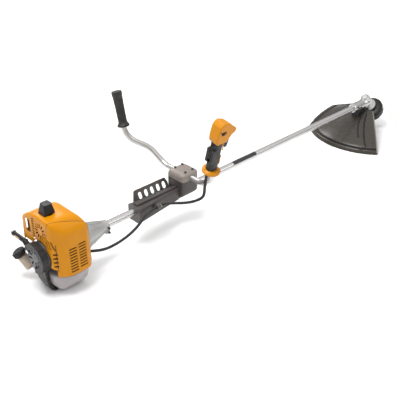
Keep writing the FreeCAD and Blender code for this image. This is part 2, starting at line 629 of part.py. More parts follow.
def make_throttle_handle(bar):
    bar_hole = rod(BAR_R, V(0, 0, -5), V(0, 0, 120))
    cable_hole = rod(CABLE_R + 0.6, V(-17, 0, 0), V(-17, 0, 20))
    ring_form = turned([(12, 0), (12, 24), (17, 30), (24, 30), (29, 23), (29, 0)], V(0, 0, 0), Z)
    lower_ring = ring_form.cut([bar_hole, cable_hole])

    grip_outline = [V(-19, -15, 29), V(17, -15, 29), V(17, 15, 29), V(-19, 15, 29)]
    grip = Part.Face(rounded_path(grip_outline, 12, closed=True)[0]).extrude(Z * 107)
    swell = Part.makeSphere(40, V(-6, 0, 86)).common(block(-24, 0, -15, 15, 62, 112))
    lock_slot = block(-40, -11.2, -5.4, 5.4, 64, 130)
    grip = join(grip, swell).cut([bar_hole, lock_slot])

    outline = [(-21, 136.2), (-25, 160), (-21, 200), (-6, 214), (22, 203), (56, 178), (53, 166), (38, 158), (22, 136.2)]
    head = prism(outline, "y", -20, 20, 6)
    edges = [e for e in head.Edges if abs(e.BoundBox.YMax - e.BoundBox.YMin) < 0.01]
    head = head.makeFillet(4.5, edges)
    trigger_slot = block(10, 54, -7.4, 7.4, 130, 156)
    lock_top = block(-24, -8, -5.4, 5.4, 130, 138)
    switch_slot = block(-11, 9, -22, -16, 171, 183)
    hollow = soft_block(-12, 40, -14, 14, 158, 176, 4)
    head = head.cut([trigger_slot, lock_top, switch_slot, hollow])
    px, pz = TRIGGER_PIVOT
    pin = rod(2 - RUN_GAP, V(px, -12, pz), V(px, 12, pz))
    lx, lz = LOCKOUT_PIVOT
    lever_pin = rod(1.5 - RUN_GAP, V(lx, -9, lz), V(lx, 9, lz))
    save("throttle_grip", in_grip(grip.cut(lever_pin), -1).cut(bar))
    save("throttle_shell", in_grip(head.cut(pin), -1).cut(bar), in_grip(lower_ring, -1).cut(bar))

    blade = prism([(px - 7, pz + 5), (px + 9, pz + 5), (px + 12, 128), (px + 8, 106), (px - 1, 102), (px - 3, 122),
                   (px - 7, 134)], "y", -6.8, 6.8, 2.5)
    pin_hole = rod(2, V(px, -10, pz), V(px, 10, pz))
    save("trigger", in_grip(blade.cut(pin_hole), -1))

    lever = prism([(lx - 3, lz + 3), (lx + 2.5, lz + 3), (lx + 2.5, 114), (lx - 2, 72), (lx - 5, 70), (lx - 11, 80),
                   (lx - 10, 98), (lx - 5, 112)], "y", -4.6, 4.6, 1.2)
    lever_hole = rod(1.5, V(lx, -10, lz), V(lx, 10, lz))
    save("lockout_lever", in_grip(lever.cut(lever_hole), -1))

    slider = join(block(-10, 2, -21.5, -16.5, 172, 182), block(-7, -1, -23.5, -21.5, 173.5, 180.5))
    save("stop_switch", in_grip(slider, -1))
    return [in_grip(pin, -1), in_grip(lever_pin, -1)]


CABLE_R = 5.0
CABLE_POINTS = [V(412, -219, 319), V(413, -208, 270), V(422, -197, 232), V(433, -180, 202), V(431, -150, 176),
                V(419, -112, 156), V(400, -74, 147), V(376, -46, 143), V(333, -41, 137), V(294, -43, 128),
                V(264, -51, 113), V(226, -58, 101), V(178, -61, 91), V(133, -62, 89), V(100, -62, 93), V(74, -62, 102),
                V(46, -62, 113)]


# ---------------------------------------------------------------- gear head
def gear_screws():
    """The clamp screw on the left of the tube socket and two locating screws on its right."""
    screws = [screw(V(1534, 18, SHAFT_Z + 12), -Z, 3.6, 4, 2, 20)]
    screws += [screw(V(x, -25, z), Y, 3.8, 4, 2, 7) for x, z in ((1538, SHAFT_Z + 5), (1560, SHAFT_Z))]
    return screws


def make_gear_case():
    socket = turned([(1519, 18), (1525, 20), (GEAR_X - 40, 20), (GEAR_X - 26, 24), (GEAR_X - 6, 24), (GEAR_X, 0),
                     (1519, 0)], V(0, 0, SHAFT_Z), X)
    barrel = turned([(-35, 0), (-35, 13.5), (-32, 18.5), (-12, 22), (20, 23), (24, 30), (30, 30), (30, 0)],
                    GEAR_CENTRE, OUTPUT)
    ribs = []
    for side in (-1, 1):
        ribs.append(block(1545, GEAR_X - 20, side * 19 - 1.5, side * 19 + 1.5, SHAFT_Z - 3, SHAFT_Z + 3))
    cuts = [rod(TUBE_R, on_shaft(1500), on_shaft(TUBE_END)),
            rod(13, on_shaft(TUBE_END - 1), on_shaft(GEAR_X - 38)),
            rod(14.5, on_shaft(GEAR_X - 38), on_shaft(GEAR_X - 8)),
            rod(10, on_output(-36), on_output(-27)),
            rod(16.4, on_output(-27.5), on_output(15)),
            rod(16, on_output(14), on_output(26)),
            rod(10, on_output(25), on_output(31))]
    clamp_slot = block(1518, 1552, 12, 30, SHAFT_Z - 1, SHAFT_Z + 1)
    case = join(socket, barrel, *ribs).cut(cuts).cut(clamp_slot).cut(gear_screws())
    cap = turned([(-35, 0), (-35, 12.5), (-39, 12.5), (-41, 10), (-41, 0)], GEAR_CENTRE, OUTPUT)
    save("gear_case", max(case.Solids, key=lambda s: s.Volume), cap)


def bevel_gear(axis, pitch_angle, teeth, contact, tooth_at_contact, hub_r, hub_end):
    """Straight bevel gear with its apex at the crossing of the axes and a hub behind it."""
    pitch_r = CONE_OUTER * math.sin(pitch_angle)
    module = 2 * pitch_r / teeth
    addendum, dedendum = 0.75 * module, 1.0 * module
    side = axis.cross(contact).normalize()
    outward = side.cross(axis).normalize()

    def at_cone(distance, rise, offset):
        """A point of the tooth in the plane square to the cone, scaled towards the apex."""
        scale = distance / CONE_OUTER
        along = math.cos(pitch_angle) * CONE_OUTER - rise * math.sin(pitch_angle)
        radial = math.sin(pitch_angle) * CONE_OUTER + rise * math.cos(pitch_angle)
        local = axis * along + outward * radial + side * offset
        return GEAR_CENTRE + local * scale

    def tooth_wire(distance):
        rows = ((-dedendum - 0.8, 0.62), (0.0, 0.36), (addendum, 0.16))
        right = [at_cone(distance, rise, share * module * math.pi / 2) for rise, share in rows]
        left = [at_cone(distance, rise, -share * module * math.pi / 2) for rise, share in rows[::-1]]
        corners = right + left
        return Part.makePolygon(corners + corners[:1])

    tooth = Part.makeLoft([tooth_wire(CONE_OUTER - 0.4), tooth_wire(CONE_INNER + 0.6)], True, True)
    first = 0.0 if tooth_at_contact else 180.0 / teeth
    root_outer = pitch_r - dedendum * math.cos(pitch_angle)
    outer_along = CONE_OUTER * math.cos(pitch_angle) + dedendum * math.sin(pitch_angle)
    scale = CONE_INNER / CONE_OUTER
    blank = turned([(outer_along, 0), (outer_along, root_outer), (outer_along * scale, root_outer * scale),
                    (outer_along * scale, 0)], GEAR_CENTRE, axis)
    hub = rod(hub_r, GEAR_CENTRE + axis * (outer_along - 1), GEAR_CENTRE + axis * hub_end)
    return blank.fuse(hub).multiFuse(around(tooth, teeth, GEAR_CENTRE, axis, first))


def make_bevel_pair():
    shaft_angle = math.radians(OUTPUT_ANGLE)
    ratio = CROWN_TEETH / PINION_TEETH
    pinion_angle = math.atan2(math.sin(shaft_angle), ratio + math.cos(shaft_angle))
    crown_angle = shaft_angle - pinion_angle
    contact = V(-math.cos(pinion_angle), 0, math.sin(pinion_angle))
    pinion = bevel_gear(-X, pinion_angle, PINION_TEETH, contact, True, 6, 52)
    shaft_hole = rod(SHAFT_R, on_shaft(GEAR_X - 60), on_shaft(GEAR_X - 32))
    save("bevel_pinion", pinion.cut(shaft_hole))
    crown = bevel_gear(-OUTPUT, crown_angle, CROWN_TEETH, contact, False, 9, 27.2)
    save("crown_gear", crown.cut(rod(6, on_output(-40), on_output(0))))
    arbor = turned([(-34, 0), (-34, 6), (-7, 6), (-7, 8), (40, 8), (40, 6), (60, 6), (60, 0)], GEAR_CENTRE, OUTPUT)
    flange = ring(27, 8, on_output(31.5), on_output(36))
    save("output_arbor", arbor, flange)


# ---------------------------------------------------------------- guard and trimmer head
def guard_profile(points):
    """Radius and height points revolved through the guard's sector."""
    corners = [GUARD_AXIS - X * r + Z * z for r, z in points]
    face = Part.Face(Part.makePolygon(corners + corners[:1]))
    face.rotate(GUARD_AXIS, Z, -GUARD_LEFT_ANGLE)
    return face.revolve(GUARD_AXIS, Z, GUARD_LEFT_ANGLE + GUARD_RIGHT_ANGLE)


def guard_corner(radius, angle):
    """A point on the floor at an angle to the left of the tube, seen from the guard's axis."""
    turn = math.radians(angle)
    return GUARD_AXIS + V(-radius * math.cos(turn), radius * math.sin(turn), 0)


def make_guard():
    r = GUARD_R
    plate = guard_profile([(42, 104), (120, 81), (r - 65, 47), (r - 30, 29), (r - 18, 21), (r - 8, 19), (r, 0),
                           (r - 3, 0), (r - 10, 16), (r - 20, 18), (r - 31, 26), (r - 66, 44), (119, 78), (42, 101)])
    rim_end, side_end = guard_corner(GUARD_R, 47.2), guard_corner(210.0, 92.0)
    along = (side_end - rim_end).normalize()
    inward = -Y
    beyond = [rim_end - along * 200, side_end + along * 200, side_end + along * 200 - inward * 200,
              rim_end - along * 200 - inward * 200]
    plate = plate.cut(Part.Face(Part.makePolygon(beyond + beyond[:1])).extrude(Z * 200))
    heights = ((3, 3, 17), (40, 6, 24), (80, 14, 34), (130, 20, 42), (190, 22, 44))
    corners = [rim_end + along * run + Z * low for run, low, high in heights]
    corners += [rim_end + along * run + Z * high for run, low, high in heights[::-1]]
    wall = Part.Face(Part.makePolygon(corners + corners[:1])).extrude(inward * 3)
    ribs = []
    for angle in (GUARD_RIGHT_ANGLE - 12, GUARD_RIGHT_ANGLE - 22):
        rib = prism([(-r + 32, 27), (-r + 32, 31), (-r + 65, 50), (-120, 84), (-70, 98), (-70, 94)], "y", -1.5, 1.5)
        rib.rotate(V(0, 0, 0), Z, angle)
        rib.translate(GUARD_AXIS)
        ribs.append(rib)
    collar_way = rod(33, GEAR_CENTRE, on_output(60))
    guard = join(plate, wall, *ribs).cut(collar_way)
    save("guard", guard)
    socket = rod(20.1, on_shaft(1500), on_shaft(GEAR_X))
    saddle = prism([(-18, 80), (-17, 122), (17, 122), (18, 80)], "x", 1546, 1578, 3)
    under = guard_profile([(30, 60), (30, 107.5), (42, 104), (120, 81), (160, 65.5), (160, 40)])
    save("guard_bracket", saddle.cut([socket, under]))
    cutter = block(-r + 3.5, -r + 22, -7, 7, 6, 8)
    cutter.rotate(V(0, 0, 0), Z, 20)
    cutter.translate(GUARD_AXIS)
    save("line_cutter", cutter.cut(guard))


def make_trimmer_head():
    housing = turned([(42, 6), (42, 24), (46, 42), (52, HEAD_R - 2), (56, HEAD_R), (68, HEAD_R), (68, HEAD_R - 4),
                      (55, HEAD_R - 4), (50, 38), (48, 12), (62, 12), (62, 6)], GEAR_CENTRE, OUTPUT)
    housing = housing.cut(rod(6, on_output(30), on_output(61)))
    line_ways = [rod(2.6, on_output(61), on_output(61) + way * 70) for way in line_exits()]
    save("trimmer_housing", housing.cut(line_ways))
    cover = turned([(68.2, HEAD_R - 4), (68.2, HEAD_R), (82, HEAD_R - 2), (92, 34), (94, 26), (94, 19), (90, 19),
                    (90, 32), (80, HEAD_R - 6)], GEAR_CENTRE, OUTPUT)
    slots = around(rod(4, on_output(74) + line_exits()[0] * 30, on_output(74) + line_exits()[0] * 60), 8,
                   GEAR_CENTRE, OUTPUT, 11)
    save("spool_cover", cover.cut(slots))
    spool = turned([(64, 19), (64, 42), (67, 42), (67, 26), (76, 26), (76, 40), (79, 40), (79, 19)],
                   GEAR_CENTRE, OUTPUT)
    winding = ring(38, 26, on_output(67), on_output(76))
    save("spool", join(spool, winding))
    knob = turned([(74, 0), (74, 14), (99.6, 14), (99.6, 20), (105, 22), (110, 19), (112, 12), (112, 0)],
                  GEAR_CENTRE, OUTPUT)
    save("bump_knob", knob)


def line_exits():
    """Directions in the head's plane in which the two lines leave."""
    back = OUTPUT.cross(Y).normalize()
    right = (back * 0.46 - Y * 0.888).normalize()
    return [right, right * -1]


def make_lines():
    centre = on_output(61)
    right, left = line_exits()
    right_start = centre + right * (HEAD_R - 4)
    right_points = [right_start, right_start + right * 22, V(1689, -89, 79), V(1676, -119, 66), V(1660, -152, 52)]
    save("line_right", swept(right_points, 1.2, None, "line_right"))
    left_start = centre + left * (HEAD_R - 4)
    left_points = [left_start, left_start + left * 26, V(1670, 106, 76), V(1699, 130, 92), V(1726, 142, 108)]
    save("line_left", swept(left_points, 1.2, None, "line_left"))
    print("line exits", centre, right, left, right_start, left_start)


# ---------------------------------------------------------------- fasteners
def make_screws(lever_pins):
    clamp_screws = [screw(V(x, y, 213), -Z, 4.2, 4.0, 2.5, 40) for x, y in clamp_screw_places()]
    save("screws_and_pins", *clutch_screws(), *clamp_screws, *gear_screws(), *lever_pins)


def main():
    os.makedirs("parts", exist_ok=True)
    make_drive_line()
    make_clutch_shoes()
    make_clutch_housing()
    make_crankcase()
    make_bearings()
    make_crankshaft()
    make_piston_group()
    make_cylinder()
    make_flywheel()
    make_fan_housing()
    make_plug()
    make_muffler()
    make_carburettor()
    make_air_filter()
    make_cowl()
    make_plug_cap()
    make_starter()
    make_tank()
    make_stand()
    clip_way = (CABLE_POINTS[8] - CABLE_POINTS[7]).normalize()
    make_hip_guard(CABLE_POINTS[7] + (CABLE_POINTS[8] - CABLE_POINTS[7]) * 0.5, clip_way)
    make_bar_clamp()
    lever_pins = make_throttle_handle(make_handlebar())
    save("throttle_cable", swept(CABLE_POINTS, CABLE_R, None, "throttle_cable"))
    make_gear_case()
    make_bevel_pair()
    make_guard()
    make_trimmer_head()
    make_lines()
    make_screws(lever_pins)
    print(len(saved), "nodes")


main()
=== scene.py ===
import json
import math

import bmesh
import bpy
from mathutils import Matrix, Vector


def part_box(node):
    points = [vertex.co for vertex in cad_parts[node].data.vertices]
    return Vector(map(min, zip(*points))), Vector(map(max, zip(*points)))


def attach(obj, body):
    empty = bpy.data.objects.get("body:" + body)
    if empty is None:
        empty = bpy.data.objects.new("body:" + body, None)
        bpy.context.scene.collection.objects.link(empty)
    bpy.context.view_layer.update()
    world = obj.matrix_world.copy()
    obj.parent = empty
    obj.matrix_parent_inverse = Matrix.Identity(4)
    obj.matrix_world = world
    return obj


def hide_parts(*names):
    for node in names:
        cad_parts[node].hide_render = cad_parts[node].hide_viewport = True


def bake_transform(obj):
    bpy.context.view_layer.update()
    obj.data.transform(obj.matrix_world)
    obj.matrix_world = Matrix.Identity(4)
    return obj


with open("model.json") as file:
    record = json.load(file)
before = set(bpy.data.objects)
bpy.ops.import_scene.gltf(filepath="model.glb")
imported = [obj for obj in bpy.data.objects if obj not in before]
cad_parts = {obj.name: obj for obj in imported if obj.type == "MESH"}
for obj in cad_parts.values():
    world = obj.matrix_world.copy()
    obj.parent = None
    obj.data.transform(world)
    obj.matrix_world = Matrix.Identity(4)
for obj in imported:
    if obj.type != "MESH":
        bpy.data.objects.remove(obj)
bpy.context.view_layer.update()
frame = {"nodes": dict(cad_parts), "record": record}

X, Y, Z = Vector((1, 0, 0)), Vector((0, 1, 0)), Vector((0, 0, 1))

# The tube is measured in the pack; the gear head and the guard's axis stand where part.py puts them.
SHAFT_Z = sum(corner.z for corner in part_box("drive_tube")) / 2
TUBE_R = (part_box("drive_tube")[1].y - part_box("drive_tube")[0].y) / 2
GEAR_CENTRE = Vector((1.632, 0, SHAFT_Z))
OUTPUT_TILT = math.radians(50)
OUTPUT = Vector((math.cos(OUTPUT_TILT), 0, -math.sin(OUTPUT_TILT)))
GUARD_AXIS = Vector((1.648, -0.016, 0))
GUARD_R = 0.270


# ---------------------------------------------------------------- camera, floor and light
CAMERA_PLACE = (-1.010, -1.659, 1.4248)
CAMERA_TILT, CAMERA_TURN = 59.16, -44
CAMERA_LENS, CAMERA_SENSOR = 65.6, 36

LIGHT_TARGET = (0.75, 0, 0.1)
LIGHTS = (("key", (-0.5, 0.1, 3.4), 1.5, 84),
          ("fill", (2.6, -2.6, 2.4), 1.8, 20),
          ("rim", (1.2, 2.8, 2.4), 1.4, 34))
SKY_LOW, SKY_HIGH = 0.16, 0.92
SKY_TOP = 0.8
FLOOR_HALF = 40.0
FLOOR_DROP = 0.0005


def make_camera():
    camera = bpy.data.cameras.new("camera")
    camera.lens = CAMERA_LENS
    camera.sensor_width = CAMERA_SENSOR
    camera.clip_start = 0.05
    camera.clip_end = 100
    holder = bpy.data.objects.new("camera", camera)
    holder.location = CAMERA_PLACE
    holder.rotation_euler = (math.radians(CAMERA_TILT), 0, math.radians(CAMERA_TURN))
    bpy.context.collection.objects.link(holder)
    bpy.context.scene.camera = holder


def area_light(name, place, target, size, power):
    light = bpy.data.lights.new(name, "AREA")
    light.shape = "DISK"
    light.size = size
    light.energy = power
    holder = bpy.data.objects.new(name, light)
    holder.location = place
    holder.rotation_euler = (Vector(target) - Vector(place)).to_track_quat("-Z", "Y").to_euler()
    bpy.context.collection.objects.link(holder)


def make_sky():
    """A white sky that is dim at the horizon and bright overhead."""
    world = bpy.data.worlds.new("studio")
    world.use_nodes = True
    nodes, link = world.node_tree.nodes, world.node_tree.links.new
    split = nodes.new("ShaderNodeSeparateXYZ")
    link(nodes.new("ShaderNodeTexCoord").outputs["Generated"], split.inputs["Vector"])
    lift = nodes.new("ShaderNodeMapRange")
    lift.inputs["From Min"].default_value = 0.0
    lift.inputs["From Max"].default_value = SKY_TOP
    lift.inputs["To Min"].default_value = SKY_LOW
    lift.inputs["To Max"].default_value = SKY_HIGH
    link(split.outputs["Z"], lift.inputs["Value"])
    background = nodes["Background"]
    background.inputs["Color"].default_value = (1, 1, 1, 1)
    link(lift.outputs["Result"], background.inputs["Strength"])
    bpy.context.scene.world = world
    bpy.context.scene.view_settings.view_transform = "Standard"


def make_floor():
    half = FLOOR_HALF
    corners = [(-half, -half, 0), (half, -half, 0), (half, half, 0), (-half, half, 0)]
    mesh = bpy.data.meshes.new("floor")
    mesh.from_pydata(corners, [], [(0, 1, 2, 3)])
    floor = bpy.data.objects.new("floor", mesh)
    floor.location.z = -FLOOR_DROP
    bpy.context.collection.objects.link(floor)
    paper = surface("floor_paper", (0.96, 0.96, 0.96), rough=0.9, vary=0.01, grain=0.0, scale=3)
    mesh.materials.append(paper)


def make_studio():
    make_sky()
    for name, place, size, power in LIGHTS:
        area_light(name, place, LIGHT_TARGET, size, power)
    make_floor()


# ---------------------------------------------------------------- materials
DUST_COLOUR = (0.55, 0.5, 0.43)
GRAIN_DEPTH = 0.0003
COAT_ROUGHNESS = 0.12


def surface(name, colour, rough=0.45, metal=0.0, vary=0.08, grain=0.1, scale=900.0, coat=0.0,
            wear=0.0, wear_colour=(0.6, 0.58, 0.55), dust=0.0, soften=0.0006, brushed=None,
            rough_vary=0.08, translucent=0.0, specular=0.5):
    """A node material: mottled colour, uneven roughness, fine bump, worn edges and softened corners."""
    material = bpy.data.materials.new(name)
    material.use_nodes = True
    tree = material.node_tree
    nodes, link = tree.nodes, tree.links.new
    shader = nodes["Principled BSDF"]
    place = nodes.new("ShaderNodeTexCoord").outputs["Object"]
    if brushed:
        stretch = nodes.new("ShaderNodeMapping")
        stretch.inputs["Scale"].default_value = brushed
        link(place, stretch.inputs["Vector"])
        place = stretch.outputs["Vector"]

    def noise(size, detail=3.0):
        node = nodes.new("ShaderNodeTexNoise")
        node.inputs["Scale"].default_value = size
        node.inputs["Detail"].default_value = detail
        link(place, node.inputs["Vector"])
        return node.outputs["Fac"]

    def remap(value, low, high, from_low=0.3, from_high=0.7):
        node = nodes.new("ShaderNodeMapRange")
        node.inputs["From Min"].default_value = from_low
        node.inputs["From Max"].default_value = from_high
        node.inputs["To Min"].default_value = low
        node.inputs["To Max"].default_value = high
        link(value, node.inputs["Value"])
        return node.outputs["Result"]

    def mix(share, first, second):
        node = nodes.new("ShaderNodeMix")
        node.data_type = "RGBA"
        link(share, node.inputs["Factor"])
        for socket, value in ((node.inputs[6], first), (node.inputs[7], second)):
            if isinstance(value, tuple):
                socket.default_value = (*value, 1)
            else:
                link(value, socket)
        return node.outputs[2]

    dark = tuple(c * (1 - vary) for c in colour)
    light = tuple(min(1, c * (1 + vary)) for c in colour)
    base = mix(remap(noise(scale * 0.02, 5), 0, 1), dark, light)
    roughness = remap(noise(scale * 0.05, 4), max(0.02, rough - rough_vary), min(1, rough + rough_vary))
    if dust:
        base = mix(remap(noise(scale * 0.008, 6), 0, dust, 0.5, 0.75), base, DUST_COLOUR)
    if wear:
        edge = nodes.new("ShaderNodeNewGeometry").outputs["Pointiness"]
        rubbed = nodes.new("ShaderNodeMath")
        rubbed.operation = "MULTIPLY"
        link(remap(edge, 0, wear, 0.54, 0.62), rubbed.inputs[0])
        link(remap(noise(scale * 0.1), 0, 1), rubbed.inputs[1])
        base = mix(rubbed.outputs[0], base, wear_colour)
    link(base, shader.inputs["Base Color"])
    link(roughness, shader.inputs["Roughness"])
    normal = None
    if soften:
        bevel = nodes.new("ShaderNodeBevel")
        bevel.samples = 4
        bevel.inputs["Radius"].default_value = soften
        normal = bevel.outputs["Normal"]
    if grain:
        bump = nodes.new("ShaderNodeBump")
        bump.inputs["Strength"].default_value = grain
        bump.inputs["Distance"].default_value = GRAIN_DEPTH
        link(noise(scale, 2), bump.inputs["Height"])
        if normal:
            link(normal, bump.inputs["Normal"])
        normal = bump.outputs["Normal"]
    if normal:
        link(normal, shader.inputs["Normal"])
    shader.inputs["Metallic"].default_value = metal
    shader.inputs["Coat Weight"].default_value = coat
    shader.inputs["Coat Roughness"].default_value = COAT_ROUGHNESS
    shader.inputs["Specular IOR Level"].default_value = specular
    if translucent:
        shader.inputs["Subsurface Weight"].default_value = translucent
        shader.inputs["Subsurface Radius"].default_value = (0.6, 0.5, 0.4)
        shader.inputs["Subsurface Scale"].default_value = 0.01
    return material


# What surface() is told about each material: the frame's slots, and more for single nodes and pieces.
LOOKS = {
    "satin_aluminium": dict(colour=(0.62, 0.61, 0.60), rough=0.26, metal=0.95, vary=0.04,
                            brushed=(0.02, 1, 1), rough_vary=0.04),
    "bent_aluminium": dict(colour=(0.58, 0.57, 0.55), rough=0.30, metal=0.9, vary=0.03,
                           grain=0.04, rough_vary=0.03),
    "cast_aluminium": dict(colour=(0.47, 0.47, 0.46), rough=0.42, metal=0.8, vary=0.1,
                           grain=0.55, scale=1300, dust=0.08),
    "steel": dict(colour=(0.5, 0.5, 0.5), rough=0.33, metal=1.0),
    "machined_aluminium": dict(colour=(0.55, 0.55, 0.55), rough=0.3, metal=0.95, vary=0.05,
                               scale=800),
    "black_screw": dict(colour=(0.022, 0.022, 0.024), rough=0.38, metal=0.6, vary=0.15,
                        wear=0.5, wear_colour=(0.3, 0.3, 0.3)),
    "yellow_plastic": dict(colour=(0.60, 0.230, 0.001), rough=0.34, vary=0.035, grain=0.035,
                           scale=1100, coat=0.05, wear=0.25, wear_colour=(0.85, 0.5, 0.12),
                           rough_vary=0.05, specular=0.18),
    "black_plastic": dict(colour=(0.008, 0.0075, 0.008), specular=0.3, rough=0.42, vary=0.15,
                          grain=0.32, scale=1500, dust=0.03, wear=0.2,
                          wear_colour=(0.12, 0.12, 0.12)),
    "grey_plastic": dict(colour=(0.050, 0.042, 0.038), rough=0.40, vary=0.1, grain=0.28,
                         scale=1500, dust=0.04, wear=0.25, wear_colour=(0.2, 0.19, 0.18)),
    "light_grey_plastic": dict(colour=(0.23, 0.195, 0.172), rough=0.42, grain=0.25, scale=1400,
                               wear=0.2, wear_colour=(0.4, 0.37, 0.35)),
    "tank_plastic": dict(colour=(0.37, 0.34, 0.345), rough=0.36, vary=0.05, scale=700,
                         translucent=0.5),
    "black_rubber": dict(colour=(0.009, 0.0085, 0.008), rough=0.55, vary=0.15, grain=0.5,
                         scale=2000, dust=0.05),
    "foam": dict(colour=(0.03, 0.03, 0.03), rough=0.95, vary=0.3, grain=1.0, scale=700, soften=0),
    "rope": dict(colour=(0.07, 0.068, 0.06), rough=0.8, vary=0.2, grain=0.8, scale=2500, soften=0),
    "nylon": dict(colour=(0.50, 0.53, 0.28), rough=0.3, grain=0.05, soften=0, translucent=0.4),
    "guard_plastic": dict(colour=(0.040, 0.034, 0.027), rough=0.30, grain=0.18, scale=1500,
                          dust=0.02, wear=0.3, wear_colour=(0.2, 0.19, 0.17)),
    "label": dict(colour=(0.022, 0.021, 0.022), rough=0.5, vary=0.2, grain=0.08, scale=500,
                  soften=0),
    "tan_rubber": dict(colour=(0.56, 0.38, 0.22), rough=0.6, grain=0.4, scale=1500),
    "dark_casting": dict(colour=(0.13, 0.13, 0.135), rough=0.42, metal=0.6, vary=0.12, grain=0.4,
                         scale=1200),
    "bright_casting": dict(colour=(0.55, 0.55, 0.54), rough=0.27, metal=0.95, vary=0.10,
                           grain=0.25),
    "seam_shadow": dict(colour=(0.16, 0.055, 0.002), rough=0.6, vary=0.2),
    "burnt_steel": dict(colour=(0.06, 0.05, 0.045), rough=0.5, metal=0.8, vary=0.3, grain=0.3,
                        scale=1000, dust=0.1),
    "neck_plastic": dict(colour=(0.44, 0.36, 0.28), rough=0.4, vary=0.06, scale=700,
                         translucent=0.3),
}

# Nodes that wear another material than their slot's, because the photograph shows them so.
OTHER_LOOKS = {"muffler": "burnt_steel", "cylinder": "burnt_steel", "fan_housing": "black_plastic",
               "handlebar": "bent_aluminium", "starter_housing": "dark_casting",
               "gear_case": "bright_casting"}


def make_materials():
    return {name: surface(name, **look) for name, look in LOOKS.items()}


def dress_frame(looks):
    """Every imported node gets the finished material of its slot, or the one in OTHER_LOOKS."""
    for row in frame["record"]["subparts"]:
        node = frame["nodes"][row["node"]]
        node.data.materials.clear()
        node.data.materials.append(looks[OTHER_LOOKS.get(row["node"], row["material_slot"])])


# ---------------------------------------------------------------- mesh helpers
def new_piece(name, verts, faces, material, body="machine", smooth=True):
    mesh = bpy.data.meshes.new(name)
    mesh.from_pydata([tuple(v) for v in verts], [], faces)
    return finish_piece(name, mesh, material, body, smooth)


def finish_piece(name, mesh, material, body="machine", smooth=True):
    tidy = bmesh.new()
    tidy.from_mesh(mesh)
    bmesh.ops.remove_doubles(tidy, verts=tidy.verts, dist=1e-6)
    bmesh.ops.recalc_face_normals(tidy, faces=tidy.faces)
    tidy.to_mesh(mesh)
    tidy.free()
    if smooth:
        mesh.shade_smooth()
    piece = bpy.data.objects.new(name, mesh)
    bpy.context.collection.objects.link(piece)
    mesh.materials.append(material)
    if body:
        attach(piece, body)
    return piece


def grid_faces(rows, columns, close_rows=False, close_columns=False):
    faces = []
    for i in range(rows if close_rows else rows - 1):
        for j in range(columns if close_columns else columns - 1):
            a, b = (i + 1) % rows, (j + 1) % columns
            faces.append((i * columns + j, i * columns + b, a * columns + b, a * columns + j))
    return faces


def side_axes(axis):
    axis = Vector(axis).normalized()
    side = axis.orthogonal().normalized()
    return axis, side, axis.cross(side)


def lathe(profile, base, axis, segments=48, wobble=None):
    """Vertices and faces of (distance, radius) points turned about an axis.

    wobble(angle, distance) scales the radius.
    """
    axis, side, other = side_axes(axis)
    verts = []
    for s, r in profile:
        for j in range(segments):
            angle = 2 * math.pi * j / segments
            reach = r * (wobble(angle, s) if wobble and r > 0 else 1)
            verts.append(Vector(base) + axis * s + (side * math.cos(angle) + other * math.sin(angle)) * reach)
    faces = grid_faces(len(profile), segments, close_columns=True)
    faces.append(tuple(range(segments))[::-1])
    faces.append(tuple(range(len(verts) - segments, len(verts))))
    return verts, faces


def ring(profile, base, axis, segments):
    """A lathe form with a hole through it: the profile's last row is joined to its first."""
    verts, faces = lathe(profile, base, axis, segments)
    last = (len(profile) - 1) * segments
    bore = [(last + j, last + (j + 1) % segments, (j + 1) % segments, j) for j in range(segments)]
    return verts, faces[:-2] + bore


def rounded_form(centre, planes, power, steps):
    """A closed rounded polyhedron: each plane is (outward direction, distance from the centre)."""
    planes = [(Vector(n).normalized(), d) for n, d in planes]
    box = bmesh.new()
    bmesh.ops.create_cube(box, size=2)
    bmesh.ops.subdivide_edges(box, edges=box.edges, cuts=steps - 1, use_grid_fill=True)
    for vert in box.verts:
        way = Vector([math.tan(c * math.pi / 4) for c in vert.co]).normalized()
        total = sum(max(0.0, n.dot(way) / d) ** power for n, d in planes)
        vert.co = Vector(centre) + way * total ** (-1 / power)
    mesh = bpy.data.meshes.new("form")
    box.to_mesh(mesh)
    box.free()
    return mesh


def plane_through(centre, normal, point):
    """A plane of rounded_form given by a point that it passes through."""
    normal = Vector(normal).normalized()
    return normal, (Vector(point) - Vector(centre)).dot(normal)


def facing_x(a, b, depth):
    """An outline point given as y and z, at a depth along X."""
    return Vector((depth, a, b))


def facing_y(a, b, depth):
    """An outline point given as x and z, at a depth along Y."""
    return Vector((a, depth, b))


def facing_z(a, b, depth):
    """An outline point given as x and y, at a depth along Z."""
    return Vector((a, b, depth))


def prism_cutter(outline, place, low, high):
    """A closed prism: outline points (a, b) put in space by place(a, b, depth)."""
    count = len(outline)
    verts = [place(a, b, low) for a, b in outline] + [place(a, b, high) for a, b in outline]
    faces = [tuple(range(count))[::-1], tuple(range(count, 2 * count))]
    faces += [(i, (i + 1) % count, count + (i + 1) % count, count + i) for i in range(count)]
    return verts, faces


def rounded_outline(width, height, radius, turn=0.0, centre=(0.0, 0.0), steps=4):
    """A rectangle with round corners, turned by degrees about its centre."""
    points = []
    for sx, sy, start in ((1, 1, 0), (-1, 1, 90), (-1, -1, 180), (1, -1, 270)):
        for k in range(steps + 1):
            angle = math.radians(start + 90 * k / steps)
            a = sx * (width / 2 - radius) + radius * math.cos(angle)
            b = sy * (height / 2 - radius) + radius * math.sin(angle)
            points.append((a, b))
    c, s = math.cos(math.radians(turn)), math.sin(math.radians(turn))
    return [(centre[0] + a * c - b * s, centre[1] + a * s + b * c) for a, b in points]


def circle_outline(radius, centre, steps=40):
    return [(centre[0] + radius * math.cos(2 * math.pi * i / steps),
             centre[1] + radius * math.sin(2 * math.pi * i / steps)) for i in range(steps)]


def merged(parts):
    verts, faces = [], []
    for v, f in parts:
        faces += [tuple(i + len(verts) for i in face) for face in f]
        verts += v
    return verts, faces


